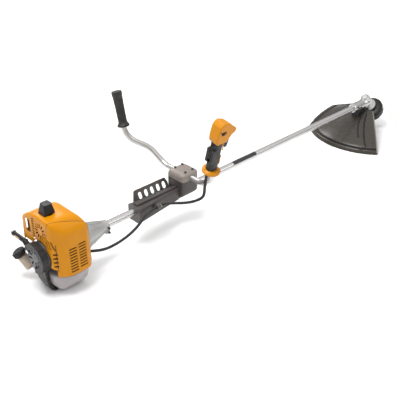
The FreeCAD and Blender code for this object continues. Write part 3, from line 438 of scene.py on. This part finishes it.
def evaluated(holder):
    """The mesh of an object with its modifiers applied."""
    bpy.context.view_layer.update()
    return bpy.data.meshes.new_from_object(holder.evaluated_get(bpy.context.evaluated_depsgraph_get()))


def thickened(name, mesh, thickness, offset):
    """The surface given a wall: offset -1 builds it inwards and 1 outwards."""
    holder = bpy.data.objects.new(name, mesh)
    bpy.context.collection.objects.link(holder)
    wall = holder.modifiers.new("wall", "SOLIDIFY")
    wall.thickness = thickness
    wall.offset = offset
    solid = evaluated(holder)
    bpy.data.objects.remove(holder)
    return solid


def sliced(form, point, normal, **clear):
    """Cuts a bmesh with a plane; clear_inner and clear_outer drop what lies behind and before it."""
    geometry = form.verts[:] + form.edges[:] + form.faces[:]
    return bmesh.ops.bisect_plane(form, geom=geometry, plane_co=point, plane_no=normal, **clear)


def cut_away(mesh, cutters):
    """Subtracts closed cutters, given as vertices and faces, from a mesh and returns the new one."""
    body = bpy.data.objects.new("cut_body", mesh)
    bpy.context.collection.objects.link(body)
    for number, (verts, faces) in enumerate(cutters):
        tool_mesh = bpy.data.meshes.new(f"cutter_{number}")
        tool_mesh.from_pydata([tuple(v) for v in verts], [], faces)
        fix = bmesh.new()
        fix.from_mesh(tool_mesh)
        bmesh.ops.recalc_face_normals(fix, faces=fix.faces)
        fix.to_mesh(tool_mesh)
        fix.free()
        tool = bpy.data.objects.new(f"cutter_{number}", tool_mesh)
        bpy.context.collection.objects.link(tool)
        modifier = body.modifiers.new(f"cut_{number}", "BOOLEAN")
        modifier.operation = "DIFFERENCE"
        modifier.solver = "EXACT"
        modifier.object = tool
    result = evaluated(body)
    for modifier in list(body.modifiers):
        bpy.data.objects.remove(modifier.object)
    bpy.data.objects.remove(body)
    return result


def nurbs_curve(name, points, resolution):
    """A curve that the points control and that starts and ends on the outer two."""
    curve = bpy.data.curves.new(name, "CURVE")
    curve.dimensions = "3D"
    curve.resolution_u = resolution
    spline = curve.splines.new("NURBS")
    spline.points.add(len(points) - 1)
    for control, point in zip(spline.points, points):
        control.co = (*point, 1)
    spline.order_u = 3
    spline.use_endpoint_u = True
    return curve


def nurbs_line(points, resolution):
    """Points read from the NURBS line that a route's points control."""
    holder = bpy.data.objects.new("line", nurbs_curve("line", points, resolution))
    mesh = bpy.data.meshes.new_from_object(holder)
    line = [v.co.copy() for v in mesh.vertices]
    bpy.data.objects.remove(holder)
    return line


def evenly(line, step):
    """The line walked again with points an even step apart, as (point, distance) pairs."""
    walked = [(line[0], 0.0)]
    gone, goal = 0.0, step
    for a, b in zip(line, line[1:]):
        length = (b - a).length
        while length > 0 and goal <= gone + length:
            walked.append((a.lerp(b, (goal - gone) / length), goal))
            goal += step
        gone += length
    return walked


def tube(walked, radius_at, sides):
    """A closed tube along the walked line, with a radius that depends on the distance."""
    verts = []
    side = None
    for i, (point, gone) in enumerate(walked):
        ahead = walked[min(i + 1, len(walked) - 1)][0] - walked[max(i - 1, 0)][0]
        ahead.normalize()
        side = ahead.orthogonal() if side is None else side - ahead * side.dot(ahead)
        side.normalize()
        other = ahead.cross(side)
        for j in range(sides):
            angle = 2 * math.pi * j / sides
            verts.append(point + (side * math.cos(angle) + other * math.sin(angle)) * radius_at(gone, angle))
    faces = grid_faces(len(walked), sides, close_columns=True)
    faces.append(tuple(range(sides))[::-1])
    faces.append(tuple(range(len(verts) - sides, len(verts))))
    return verts, faces


# ---------------------------------------------------------------- trimmer line, the free cords
HEAD_CENTRE = GEAR_CENTRE + OUTPUT * 0.061
LINE_R = 0.0012
LINE_RIGHT = (OUTPUT.cross(Y).normalized() * 0.46 - Y * 0.888).normalized()
LINE_START = 0.050
EYELET = [(0.0490, 0.0020), (0.0490, 0.0042), (0.0545, 0.0042), (0.0560, 0.0032), (0.0560, 0.0020)]


def make_line(name, points, looks):
    curve = nurbs_curve(name, points, 16)
    curve.bevel_depth = LINE_R
    curve.bevel_resolution = 3
    curve.materials.append(looks["nylon"])
    piece = bpy.data.objects.new(f"{name}_cord", curve)
    bpy.context.collection.objects.link(piece)
    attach(piece, "head")
    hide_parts(name)


def make_lines(looks):
    """The two ends of the trimmer line and the steel eyelets that they leave the head through."""
    right_start = HEAD_CENTRE + LINE_RIGHT * LINE_START
    right = [right_start, right_start + LINE_RIGHT * 0.022, (1.689, -0.089, 0.079),
             (1.676, -0.119, 0.066), (1.660, -0.152, 0.052)]
    make_line("line_right", right, looks)
    left_start = HEAD_CENTRE - LINE_RIGHT * LINE_START
    left = [left_start, left_start - LINE_RIGHT * 0.026, (1.670, 0.106, 0.076),
            (1.699, 0.130, 0.092), (1.726, 0.142, 0.108)]
    make_line("line_left", left, looks)
    for name, way in (("right", LINE_RIGHT), ("left", -LINE_RIGHT)):
        verts, faces = ring(EYELET, HEAD_CENTRE, way, 20)
        new_piece(f"line_eyelet_{name}", verts, faces, looks["steel"], "head")


# ---------------------------------------------------------------- engine cowl
COWL_CENTRE = Vector((-0.012, 0.006, 0.165))
COWL_BOTTOM = 0.075
COWL_WALL = 0.0026
COWL_CRISPNESS = 19
COWL_STEPS = 52
CUT_OUTSIDE = -0.12


def cowl_planes():
    c = COWL_CENTRE
    return [plane_through(c, (-1, 0, 0.02), (-0.085, 0, 0.19)),
            plane_through(c, (1, 0, 0.04), (0.060, 0, 0.15)),
            plane_through(c, (0, -1, 0.03), (0, -0.086, 0.16)),
            plane_through(c, (0, 1, 0), (0, 0.104, 0.2)),
            plane_through(c, (-0.02, 0.02, 1), (-0.03, 0, 0.267)),
            plane_through(c, (20, 0, 38), (0.012, 0, 0.266)),
            plane_through(c, (44, 0, 22), (0.034, 0, 0.250)),
            plane_through(c, (0, 36, 62), (0, 0.104, 0.234)),
            plane_through(c, (0, -36, 32), (0, -0.052, 0.266)),
            plane_through(c, (-32, -37, 0), (-0.048, -0.086, 0)),
            plane_through(c, (30, -24, 0), (0.036, -0.086, 0)),
            plane_through(c, (50, 36, 0), (0.024, 0.090, 0)),
            plane_through(c, (14, 64, 0), (-0.040, 0.104, 0)),
            ((0, 0, -1), 0.24)]


def smooth_step(value, low, high):
    share = min(1.0, max(0.0, (value - low) / (high - low)))
    return share * share * (3 - 2 * share)


def cowl_slots():
    """Cutters for the slots of the right side and of the rear face."""
    cuts = []

    def slot_cut(size, corner, turn, middle, place, inner):
        outline = rounded_outline(*size, corner, turn, middle)
        cuts.append(prism_cutter(outline, place, CUT_OUTSIDE, inner))

    # two columns of level slots in the right side
    for column, middle in enumerate((-0.0245, 0.0095)):
        for i in range(9):
            z = 0.168 - 0.010 * i + 0.006 * column
            slot_cut((0.028, 0.0050), 0.0024, 0, (middle, z), facing_y, -0.060)
    # short slots down the left of the rear face
    for i in range(9):
        slot_cut((0.0135, 0.0050), 0.0022, 0, (0.034, 0.246 - 0.0085 * i), facing_x, -0.066)
    # fan of slots in the middle of the rear face
    fan = Vector((-0.003, 0.216))
    for i in range(12):
        angle = 30 * i
        way = Vector((math.cos(math.radians(angle)), math.sin(math.radians(angle))))
        slot_cut((0.0165, 0.0052), 0.0022, angle, fan + way * 0.0200, facing_x, -0.066)
    # three long slanted slots and a column of short ones beside the right rear edge
    for i in range(3):
        middle = (-0.041 - 0.0088 * i, 0.192 - 0.002 * i)
        slot_cut((0.0046, 0.034), 0.0020, -16, middle, facing_x, -0.060)
    for i in range(4):
        slot_cut((0.012, 0.006), 0.0025, -10, (-0.0625, 0.158 - 0.0145 * i), facing_x, -0.058)
    return cuts


SEAM_POINT = Vector((-0.010, -0.055, 0.160))
SEAM_NORMAL = Vector((0.28, 1.0, 0.10)).normalized()
SEAM_STEP = 0.0028
SEAM_LAP = 0.004
STEP_THINNING = 0.3


def cowl_skin():
    return rounded_form(COWL_CENTRE, cowl_planes(), COWL_CRISPNESS, COWL_STEPS)


def cowl_form(side, inset):
    """One side of the cowl, cut at the seam plane and at the cowl's floor, with a wall thickness."""
    mesh = cowl_skin()
    shell = bmesh.new()
    shell.from_mesh(mesh)
    bmesh.ops.recalc_face_normals(shell, faces=shell.faces)
    shell.normal_update()
    for vert in shell.verts:
        vert.co -= vert.normal * inset

    sliced(shell, (0, 0, COWL_BOTTOM), (0, 0, 1), clear_inner=True)
    lap = SEAM_LAP if side > 0 else 0
    sliced(shell, SEAM_POINT - SEAM_NORMAL * lap, SEAM_NORMAL * side, clear_inner=True)
    shell.to_mesh(mesh)
    shell.free()
    return thickened("cowl_form", mesh, COWL_WALL - inset * STEP_THINNING, -1)


def cowl_openings():
    """Cutters for the openings of the cowl, named as in part.py, and for its slots."""
    starter_hole = circle_outline(0.052, (0, SHAFT_Z))
    low_rear = [(-0.064, 0), (-0.064, 0.100), (-0.020, 0.120), (0.112, 0.148), (0.112, 0)]
    low_left = [(-0.100, 0), (-0.100, 0.140), (0.090, 0.120), (0.090, 0)]
    clutch_hole = circle_outline(0.056, (0, SHAFT_Z))
    front_low = rounded_outline(0.10, 0.17, 0.004, centre=(0.010, 0.045))
    cable_hole = circle_outline(0.0068, (-0.062, 0.109))
    viewing = rounded_outline(0.025, 0.046, 0.006, -6, (0.064, 0.211))
    rear_left = rounded_outline(0.018, 0.040, 0.004, 0, (-0.072, 0.196))
    left_window = rounded_outline(0.090, 0.080, 0.007, 0, (-0.014, 0.185))
    handle_way = circle_outline(0.013, (-0.093, 0.150))
    plug_window = circle_outline(0.015, (-0.044, 0.0))
    return [prism_cutter(starter_hole, facing_x, CUT_OUTSIDE, -0.06),
            prism_cutter(low_rear, facing_x, CUT_OUTSIDE, -0.055),
            prism_cutter(low_left, facing_y, 0.055, 0.130),
            prism_cutter(clutch_hole, facing_x, 0.040, 0.10),
            prism_cutter(front_low, facing_x, 0.040, 0.10),
            prism_cutter(cable_hole, facing_x, 0.040, 0.10),
            prism_cutter(viewing, facing_x, CUT_OUTSIDE, -0.068),
            prism_cutter(rear_left, facing_y, 0.080, 0.130),
            prism_cutter(left_window, facing_y, 0.074, 0.130),
            prism_cutter(handle_way, facing_y, 0.0, 0.13),
            prism_cutter(plug_window, facing_z, 0.23, 0.30),
            merged(cowl_slots())]


def make_cowl(looks):
    for name, side, inset in (("cowl_shell", 1, SEAM_STEP), ("cowl_side_panel", -1, 0.0)):
        solid = cut_away(cowl_form(side, inset), cowl_openings())
        piece = finish_piece(name, solid, looks["yellow_plastic"])
        sharpen(piece, 32)
    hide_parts("engine_cowl")
    seam_line(looks)
    painted_shade_panels(looks)


def seam_line(looks):
    """The shadow line where the side panel meets the rest of the cowl."""
    form = bmesh.new()
    form.from_mesh(cowl_skin())
    sliced(form, SEAM_POINT, SEAM_NORMAL, clear_inner=True, clear_outer=True)
    points = [v.co.copy() for v in form.verts if v.co.z > COWL_BOTTOM + 0.001]
    form.free()
    centre, sink = COWL_CENTRE, 0.0004
    points.sort(key=lambda p: (math.atan2(p.x - centre.x, p.z - centre.z)))
    inward = [(Vector((centre.x, p.y, centre.z)) - p).normalized() for p in points]
    walked = evenly([p + way * sink for p, way in zip(points, inward)], 0.002)
    verts, faces = tube(walked, lambda gone, angle: 0.0008, 8)
    new_piece("cowl_seam", verts, faces, looks["seam_shadow"])


def painted_shade_panels(looks):
    """Black plates close behind the cowl's slots, painted shade for the dark inside of the cowl seen through
    them.
    """
    right_shade_outline = rounded_outline(0.080, 0.098, 0.005, 0, (-0.008, 0.128))
    rear = rounded_outline(0.092, 0.070, 0.005, 0, (-0.002, 0.218))
    side = rounded_outline(0.014, 0.100, 0.003, 0, (-0.060, 0.145))
    # black plates of painted shade behind the right side slots, the rear face slots and the slots by the
    # right rear edge
    plates = [("slot_shade_right", right_shade_outline, facing_y, -0.0780, -0.0768),
              ("slot_shade_rear", rear, facing_x, -0.0785, -0.0775),
              ("slot_shade_rear_edge", side, facing_x, -0.0720, -0.0710)]
    for name, outline, place, low, high in plates:
        verts, faces = prism_cutter(outline, place, low, high)
        new_piece(name, verts, faces, looks["black_plastic"], smooth=False)


def sharpen(piece, degrees):
    """Smooth faces with sharp edges kept where the surface turns by more than an angle."""
    mesh = bmesh.new()
    mesh.from_mesh(piece.data)
    for edge in mesh.edges:
        edge.smooth = len(edge.link_faces) != 2 or edge.calc_face_angle(0) < math.radians(degrees)
    mesh.to_mesh(piece.data)
    mesh.free()


# ---------------------------------------------------------------- fuel tank
NECK_TOP = Vector((-0.098, 0.106, 0.086))
NECK_LEAN = Vector((-0.40, 0.36, 0.84)).normalized()
NECK = [(-0.050, 0.020), (-0.040, 0.0195), (-0.030, 0.0185), (-0.012, 0.0172), (-0.004, 0.017),
        (-0.0035, 0.0163), (-0.0005, 0.0163), (-0.0002, 0.0145)]
TANK_TOP = 0.075


def make_tank(looks):
    """The cast tank with its sloped undersides, and the filler neck at its rear left corner."""
    c = Vector((-0.014, 0.008, 0.042))
    planes = [((0, 0, -1), c.z), ((0, 0, 1), TANK_TOP - c.z), ((-1, 0, 0), 0.066),
              ((1, 0, 0), 0.066), ((0, -1, 0), 0.092), ((0, 1, 0), 0.096),
              plane_through(c, (0, -46, -38), (0, -0.046, 0)),
              plane_through(c, (0, 38, -58), (0, 0.040, 0)),
              plane_through(c, (-34, 0, -32), (-0.048, 0, 0)),
              plane_through(c, (40, 0, -30), (0.022, 0, 0)),
              plane_through(c, (-34, -36, 0), (-0.044, -0.084, 0)),
              plane_through(c, (34, -30, 0), (0.022, -0.084, 0)),
              plane_through(c, (24, 22, 0), (0.052, 0.080, 0))]
    form = rounded_form(c, planes, 13, 30)
    piece = finish_piece("tank_body", form, looks["tank_plastic"])
    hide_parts("fuel_tank")
    verts, faces = lathe(NECK, NECK_TOP, NECK_LEAN, 40)
    new_piece("tank_neck", verts, faces, looks["neck_plastic"])


# ---------------------------------------------------------------- guard
GUARD_RIGHT, GUARD_LEFT = 42.5, 92.0
CORNER_START = 47.2
CORNER_END_R = 0.210
GUARD_WALL = 0.0028
GUARD_PROFILE = [(0.042, 0.104), (0.120, 0.081), (0.205, 0.047), (0.240, 0.029), (0.251, 0.0215),
                 (0.2535, 0.0165), (0.2605, 0.0155), (0.2630, 0.0145), (0.2665, 0.008),
                 (0.2697, 0.0005)]
GUARD_RADII = [0.043, 0.055, 0.07, 0.09, 0.11, 0.13, 0.15, 0.17, 0.19, 0.205, 0.22, 0.232, 0.242,
               0.250, 0.2515, 0.2530, 0.2545, 0.258, 0.2605, 0.2620, 0.2640, 0.2665, 0.2685,
               0.2697]


def guard_height(r):
    """Height of the guard's upper skin at a radius, from the cone down over the step to the rim."""
    for (r0, z0), (r1, z1) in zip(GUARD_PROFILE, GUARD_PROFILE[1:]):
        if r <= r1:
            return z0 + (z1 - z0) * (r - r0) / (r1 - r0)
    return GUARD_PROFILE[-1][1]


def guard_point(angle, r, lift=0.0):
    turn = math.radians(angle)
    return GUARD_AXIS + Vector((-r * math.cos(turn), r * math.sin(turn), guard_height(r) + lift))


def cut_radius(angle):
    """How far the plate reaches at an angle: to the rim, or to the straight cut across the left corner."""
    start, end = guard_point(CORNER_START, GUARD_R), guard_point(GUARD_LEFT, CORNER_END_R)
    if angle <= CORNER_START:
        return GUARD_R - 0.0003
    turn = math.radians(angle)
    way = Vector((-math.cos(turn), math.sin(turn)))
    run = (end - start).to_2d()
    offset = (start - GUARD_AXIS).to_2d()
    return (offset.x * run.y - offset.y * run.x) / (way.x * run.y - way.y * run.x) - 0.0003


def make_guard(looks):
    """The guard's skin with its ribs and beads, and the wall at its left corner; a black bead in the groove
    is painted shade and a pale bead along the near edge is a painted highlight.
    """
    angles = [-GUARD_RIGHT + i * (GUARD_LEFT + GUARD_RIGHT) / 90 for i in range(91)]
    verts = []
    for angle in angles:
        limit = cut_radius(angle)
        for r in GUARD_RADII:
            verts.append(guard_point(angle, min(r, limit)))
    mesh = bpy.data.meshes.new("guard_skin")
    mesh.from_pydata([tuple(v) for v in verts], [], grid_faces(len(angles), len(GUARD_RADII)))
    skin = thickened("guard_skin", mesh, GUARD_WALL, 1)
    for vert in skin.vertices:
        vert.co.z = max(0.0004, vert.co.z)
    piece = finish_piece("guard_skin", skin, looks["guard_plastic"])
    sharpen(piece, 30)
    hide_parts("guard")

    def bead(name, route, radius, lift, material):
        line = [guard_point(angle, r, lift) for angle, r in route]
        verts, faces = tube(evenly(line, 0.003), lambda gone, angle: radius, 10)
        new_piece(name, verts, faces, material)

    # ribs on the plate, a black bead of painted shade in the groove above the rim, the edge beads with a pale
    # painted highlight along the near edge, and the fold of the left corner
    dark, highlight_pale = looks["black_plastic"], looks["light_grey_plastic"]
    steps = [t / 24 for t in range(25)]
    span = GUARD_RIGHT + CORNER_START
    corner = [CORNER_START + 0.5 + (GUARD_LEFT - CORNER_START - 1) * t for t in steps]
    groove_shade_route = [(-GUARD_RIGHT + 1 + (span - 2) * t, 0.2530) for t in steps]
    near_edge_highlight = [(-GUARD_RIGHT + 0.6, 0.046 + 0.222 * t) for t in steps]
    far_edge = [(GUARD_LEFT - 0.5, 0.046 + 0.162 * t) for t in steps]
    long_rib = [(-18 - 13 * t, 0.070 + 0.180 * t) for t in steps]
    short_rib = [(-6 - 15 * t, 0.085 + 0.125 * t) for t in steps]
    notch = [(-28.6 + 3.4 * t, 0.2600) for t in steps]
    bead("guard_rib_long", long_rib, 0.0030, 0.0010, dark)
    bead("guard_rib_short", short_rib, 0.0028, 0.0008, dark)
    # black bead: painted shade in the groove above the rim
    bead("guard_groove_shade", groove_shade_route, 0.0034, 0.0014, dark)
    # pale bead: painted highlight along the near edge
    bead("guard_near_edge_highlight", near_edge_highlight, 0.0024, 0.0, highlight_pale)
    bead("guard_notch", notch, 0.0042, 0.0006, dark)
    bead("guard_corner_edge", [(a, cut_radius(a) - 0.001) for a in corner], 0.0028, -0.0022, dark)
    bead("guard_corner_fold", [(a, cut_radius(a) - 0.022) for a in corner], 0.0020, 0.0006, dark)
    bead("guard_far_edge", far_edge, 0.0020, -0.0004, dark)
    corner_wall(looks)


def corner_wall(looks):
    """The wall that hangs from the straight cut at the left corner, deeper towards the left."""
    count, thickness = 13, 0.0022
    top, bottom = [], []
    for i in range(count):
        share = i / (count - 1)
        angle = CORNER_START + 0.6 + (GUARD_LEFT - CORNER_START - 1.2) * share
        edge = guard_point(angle, cut_radius(angle) - 0.0016)
        drop = 0.014 + 0.008 * share
        top.append(edge - Z * 0.002)
        bottom.append(Vector((edge.x, edge.y, max(0.001, edge.z - drop))))
    inner = [p - Y * thickness for p in top]
    inner_bottom = [p - Y * thickness for p in bottom]
    verts = [p for row in (top, bottom, inner_bottom, inner) for p in row]
    ends = [tuple(i + count * row for row in range(4)) for i in (0, count - 1)]
    faces = grid_faces(4, count, close_rows=True) + ends
    new_piece("guard_corner_wall", verts, faces, looks["guard_plastic"], smooth=False)


# ---------------------------------------------------------------- cable, handle and small details
CABLE_ROUTE = [(0.412, -0.219, 0.319), (0.413, -0.208, 0.270), (0.422, -0.197, 0.232), (0.433, -0.180, 0.202),
               (0.431, -0.150, 0.176), (0.419, -0.112, 0.156), (0.400, -0.074, 0.147), (0.376, -0.046, 0.143),
               (0.333, -0.041, 0.137), (0.294, -0.043, 0.128), (0.264, -0.051, 0.113), (0.226, -0.058, 0.101),
               (0.178, -0.061, 0.091), (0.133, -0.062, 0.089), (0.100, -0.062, 0.093), (0.074, -0.062, 0.102),
               (0.046, -0.062, 0.113)]


SLEEVE_R, SLEEVE_RIB, SLEEVE_PITCH = 0.0046, 0.0005, 0.0032


def make_cable(looks):
    """The ribbed sleeve of the throttle cable."""
    def radius(gone, angle):
        return SLEEVE_R + SLEEVE_RIB * math.sin(2 * math.pi * gone / SLEEVE_PITCH)
    verts, faces = tube(evenly(nurbs_line(CABLE_ROUTE, 16), 0.0008), radius, 16)
    piece = new_piece("cable_sleeve", verts, faces, looks["black_rubber"])
    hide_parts("throttle_cable")


def make_rope(looks):
    """The starter rope, which runs out of the housing to the handle, as a fixed braided tube along the rope
    part.
    """
    low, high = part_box("starter_rope")
    middle = (low + high) / 2
    steps = 40
    walked = []
    for i in range(steps + 1):
        gone = (high.y - low.y) * i / steps
        walked.append((Vector((middle.x, low.y + gone, middle.z)), gone))

    def braid(gone, angle):
        return 0.0015 * (1 + 0.08 * math.cos(3 * angle + gone * 900))
    verts, faces = tube(walked, braid, 18)
    piece = new_piece("starter_rope_braid", verts, faces, looks["rope"], None)
    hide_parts("starter_rope")
    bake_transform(piece)


GRIP_LEAN = math.radians(13.9)
LEFT_GRIP_BASE = Vector((0.429, 0.214, 0.300))
LEFT_GRIP_FOOT = [(0.0262, 0.0140), (0.0262, 0.0205), (0.0272, 0.0218), (0.0305, 0.0222),
                  (0.0330, 0.0212), (0.0352, 0.0196), (0.0385, 0.0172), (0.0420, 0.0163)]
LEFT_GRIP_TOP = [(0.138, 0.0180), (0.1440, 0.0187), (0.1500, 0.0187), (0.1528, 0.0178),
                 (0.1538, 0.0160), (0.1538, 0.0060), (0.1530, 0.0040)]


def make_left_grip(looks):
    """The fluted rubber grip with its flared ends."""
    axis = Vector((0, math.sin(GRIP_LEAN), math.cos(GRIP_LEAN)))
    shares = [t / 24 for t in range(25)]
    barrel = [(0.045 + 0.090 * t, 0.0157 + 0.0016 * t ** 2) for t in shares]
    profile = LEFT_GRIP_FOOT + barrel + LEFT_GRIP_TOP
    def flute(angle, s):
        depth = 0.085 * smooth_step(s, 0.041, 0.047) * (1 - smooth_step(s, 0.128, 0.138))
        return 1 - depth * (0.5 + 0.5 * math.cos(16 * angle)) ** 3
    verts, faces = lathe(profile, LEFT_GRIP_BASE, axis, 160, flute)
    piece = new_piece("left_grip_rubber", verts, faces, looks["black_rubber"])
    sharpen(piece, 40)
    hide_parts("left_grip")


LABEL_ENDS = (0.760, 0.886)


def make_label(looks):
    """The blank dark strip along the top right of the tube."""
    rows, columns = 2, 17
    thickness = 0.00012
    r = TUBE_R + 0.00018
    verts = []
    for reach in (r, r + thickness):
        for x in LABEL_ENDS:
            for j in range(columns):
                angle = math.radians(28 + 84 * j / (columns - 1))
                verts.append(Vector((x, -math.cos(angle) * reach, SHAFT_Z + math.sin(angle) * reach)))
    faces = grid_faces(rows, columns)
    faces += [tuple(i + 2 * columns for i in face) for face in faces]
    new_piece("tube_label", verts, faces, looks["label"])


def make_handle_details(looks):
    """The tan inset and grey end ring of the starter handle."""
    low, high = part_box("starter_handle")
    middle = (low + high) / 2
    outline = rounded_outline(0.0285, 0.0078, 0.0030, centre=(0.111, middle.z), steps=5)
    verts, faces = prism_cutter(outline, facing_x, low.x + 0.0022, low.x + 0.0065)
    new_piece("handle_inset", verts, faces, looks["tan_rubber"], "pull", smooth=False)
    ring = [(0.0, 0.0088), (0.0008, 0.0097), (0.0042, 0.0097), (0.0050, 0.0088)]
    verts, faces = lathe(ring, Vector((middle.x, 0.1395, middle.z)), Y, 36)
    new_piece("handle_ring", verts, faces, looks["machined_aluminium"], "pull")


def make_cable_clip(looks):
    """The light clip that holds the cable to the hip guard."""
    line = nurbs_line(CABLE_ROUTE, 16)
    nearest = min(range(1, len(line) - 1), key=lambda i: abs(line[i].x - 0.362))
    point, way = line[nearest], (line[nearest + 1] - line[nearest - 1]).normalized()
    band = [(-0.0030, 0.0055), (-0.0030, 0.0066), (0.0030, 0.0066), (0.0030, 0.0055)]
    verts, faces = ring(band, point, way, 32)
    new_piece("cable_clip", verts, faces, looks["machined_aluminium"])


CLAMP_CENTRE = Vector((0.513, 0, 0.166))
CLAMP_SPLIT = 0.180
CLAMP_GAP = 0.0004
CLAMP_PLANES = [((-1, 0, 0), 0.041), ((1, 0, 0), 0.040), ((0, -1, 0), 0.041), ((0, 1, 0), 0.041),
                ((0, 0, 1), 0.0440), ((0, 0, -1), 0.060), ((-20, 0, 34), 0.052),
                ((24, 0, 30), 0.052), ((0, -22, 30), 0.054), ((0, 22, 30), 0.054),
                ((26, -26, 0), 0.048), ((26, 26, 0), 0.048), ((-20, -34, 0), 0.051),
                ((0, -26, -30), 0.054), ((22, 0, -30), 0.052)]


def make_clamp(looks):
    """The rounded clamp that holds the handlebar, split level with the middle of the bar."""
    for name, node, material, side in (("clamp_lower", "clamp_base", "grey_plastic", -1),
                                       ("clamp_upper", "clamp_cap", "light_grey_plastic", 1)):
        half = bmesh.new()
        half.from_mesh(rounded_form(CLAMP_CENTRE, CLAMP_PLANES, 18, 36))
        split = (CLAMP_CENTRE.x, 0, CLAMP_SPLIT + CLAMP_GAP * side)
        cut = sliced(half, split, (0, 0, side), clear_inner=True)
        rim = [e for e in cut["geom_cut"] if isinstance(e, bmesh.types.BMEdge)]
        bmesh.ops.contextual_create(half, geom=rim)
        mesh = bpy.data.meshes.new(name)
        half.to_mesh(mesh)
        half.free()
        piece = finish_piece(name, mesh, looks[material])
        sharpen(piece, 35)
        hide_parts(node)


GRIP_BASE = Vector((0.429, -0.214, 0.300))


def on_grip(forward, inward, height):
    """A point of the throttle handle, measured from the foot of its axis."""
    along = Vector((0, -math.sin(GRIP_LEAN), math.cos(GRIP_LEAN)))
    return GRIP_BASE + X * forward + along.cross(X) * inward + along * height


def make_grip_details(looks):
    """The yellow strips down the throttle grip and its small screws."""
    count = 20
    for name, low, high, forward in (("upper", 0.104, 0.138, 0.0165), ("lower", 0.050, 0.084, 0.0150)):
        gone = [(high - low) * t / count for t in range(count + 1)]
        walked = [(on_grip(forward, -0.0126, low + g), g) for g in gone]
        verts, faces = tube(walked, lambda gone, angle: 0.0019, 12)
        new_piece(f"grip_strip_{name}", verts, faces, looks["yellow_plastic"])
    screw = [(0.0, 0.0027), (0.0008, 0.0027), (0.0012, 0.0021), (0.0012, 0.0012), (0.0004, 0.0010)]
    out = on_grip(0, -1, 0) - on_grip(0, 0, 0)
    screws = (("head", on_grip(-0.016, -0.0198, 0.184)), ("collar", on_grip(0.0215, -0.0195, 0.021)))
    for name, place in screws:
        verts, faces = lathe(screw, place, out, 24)
        new_piece(f"grip_screw_{name}", verts, faces, looks["black_screw"])


make_camera()
materials = make_materials()
make_lines(materials)
make_studio()
dress_frame(materials)
make_cowl(materials)
make_tank(materials)
make_guard(materials)
make_cable(materials)
make_rope(materials)
make_left_grip(materials)
make_label(materials)
make_handle_details(materials)
make_cable_clip(materials)
make_clamp(materials)
make_grip_details(materials)
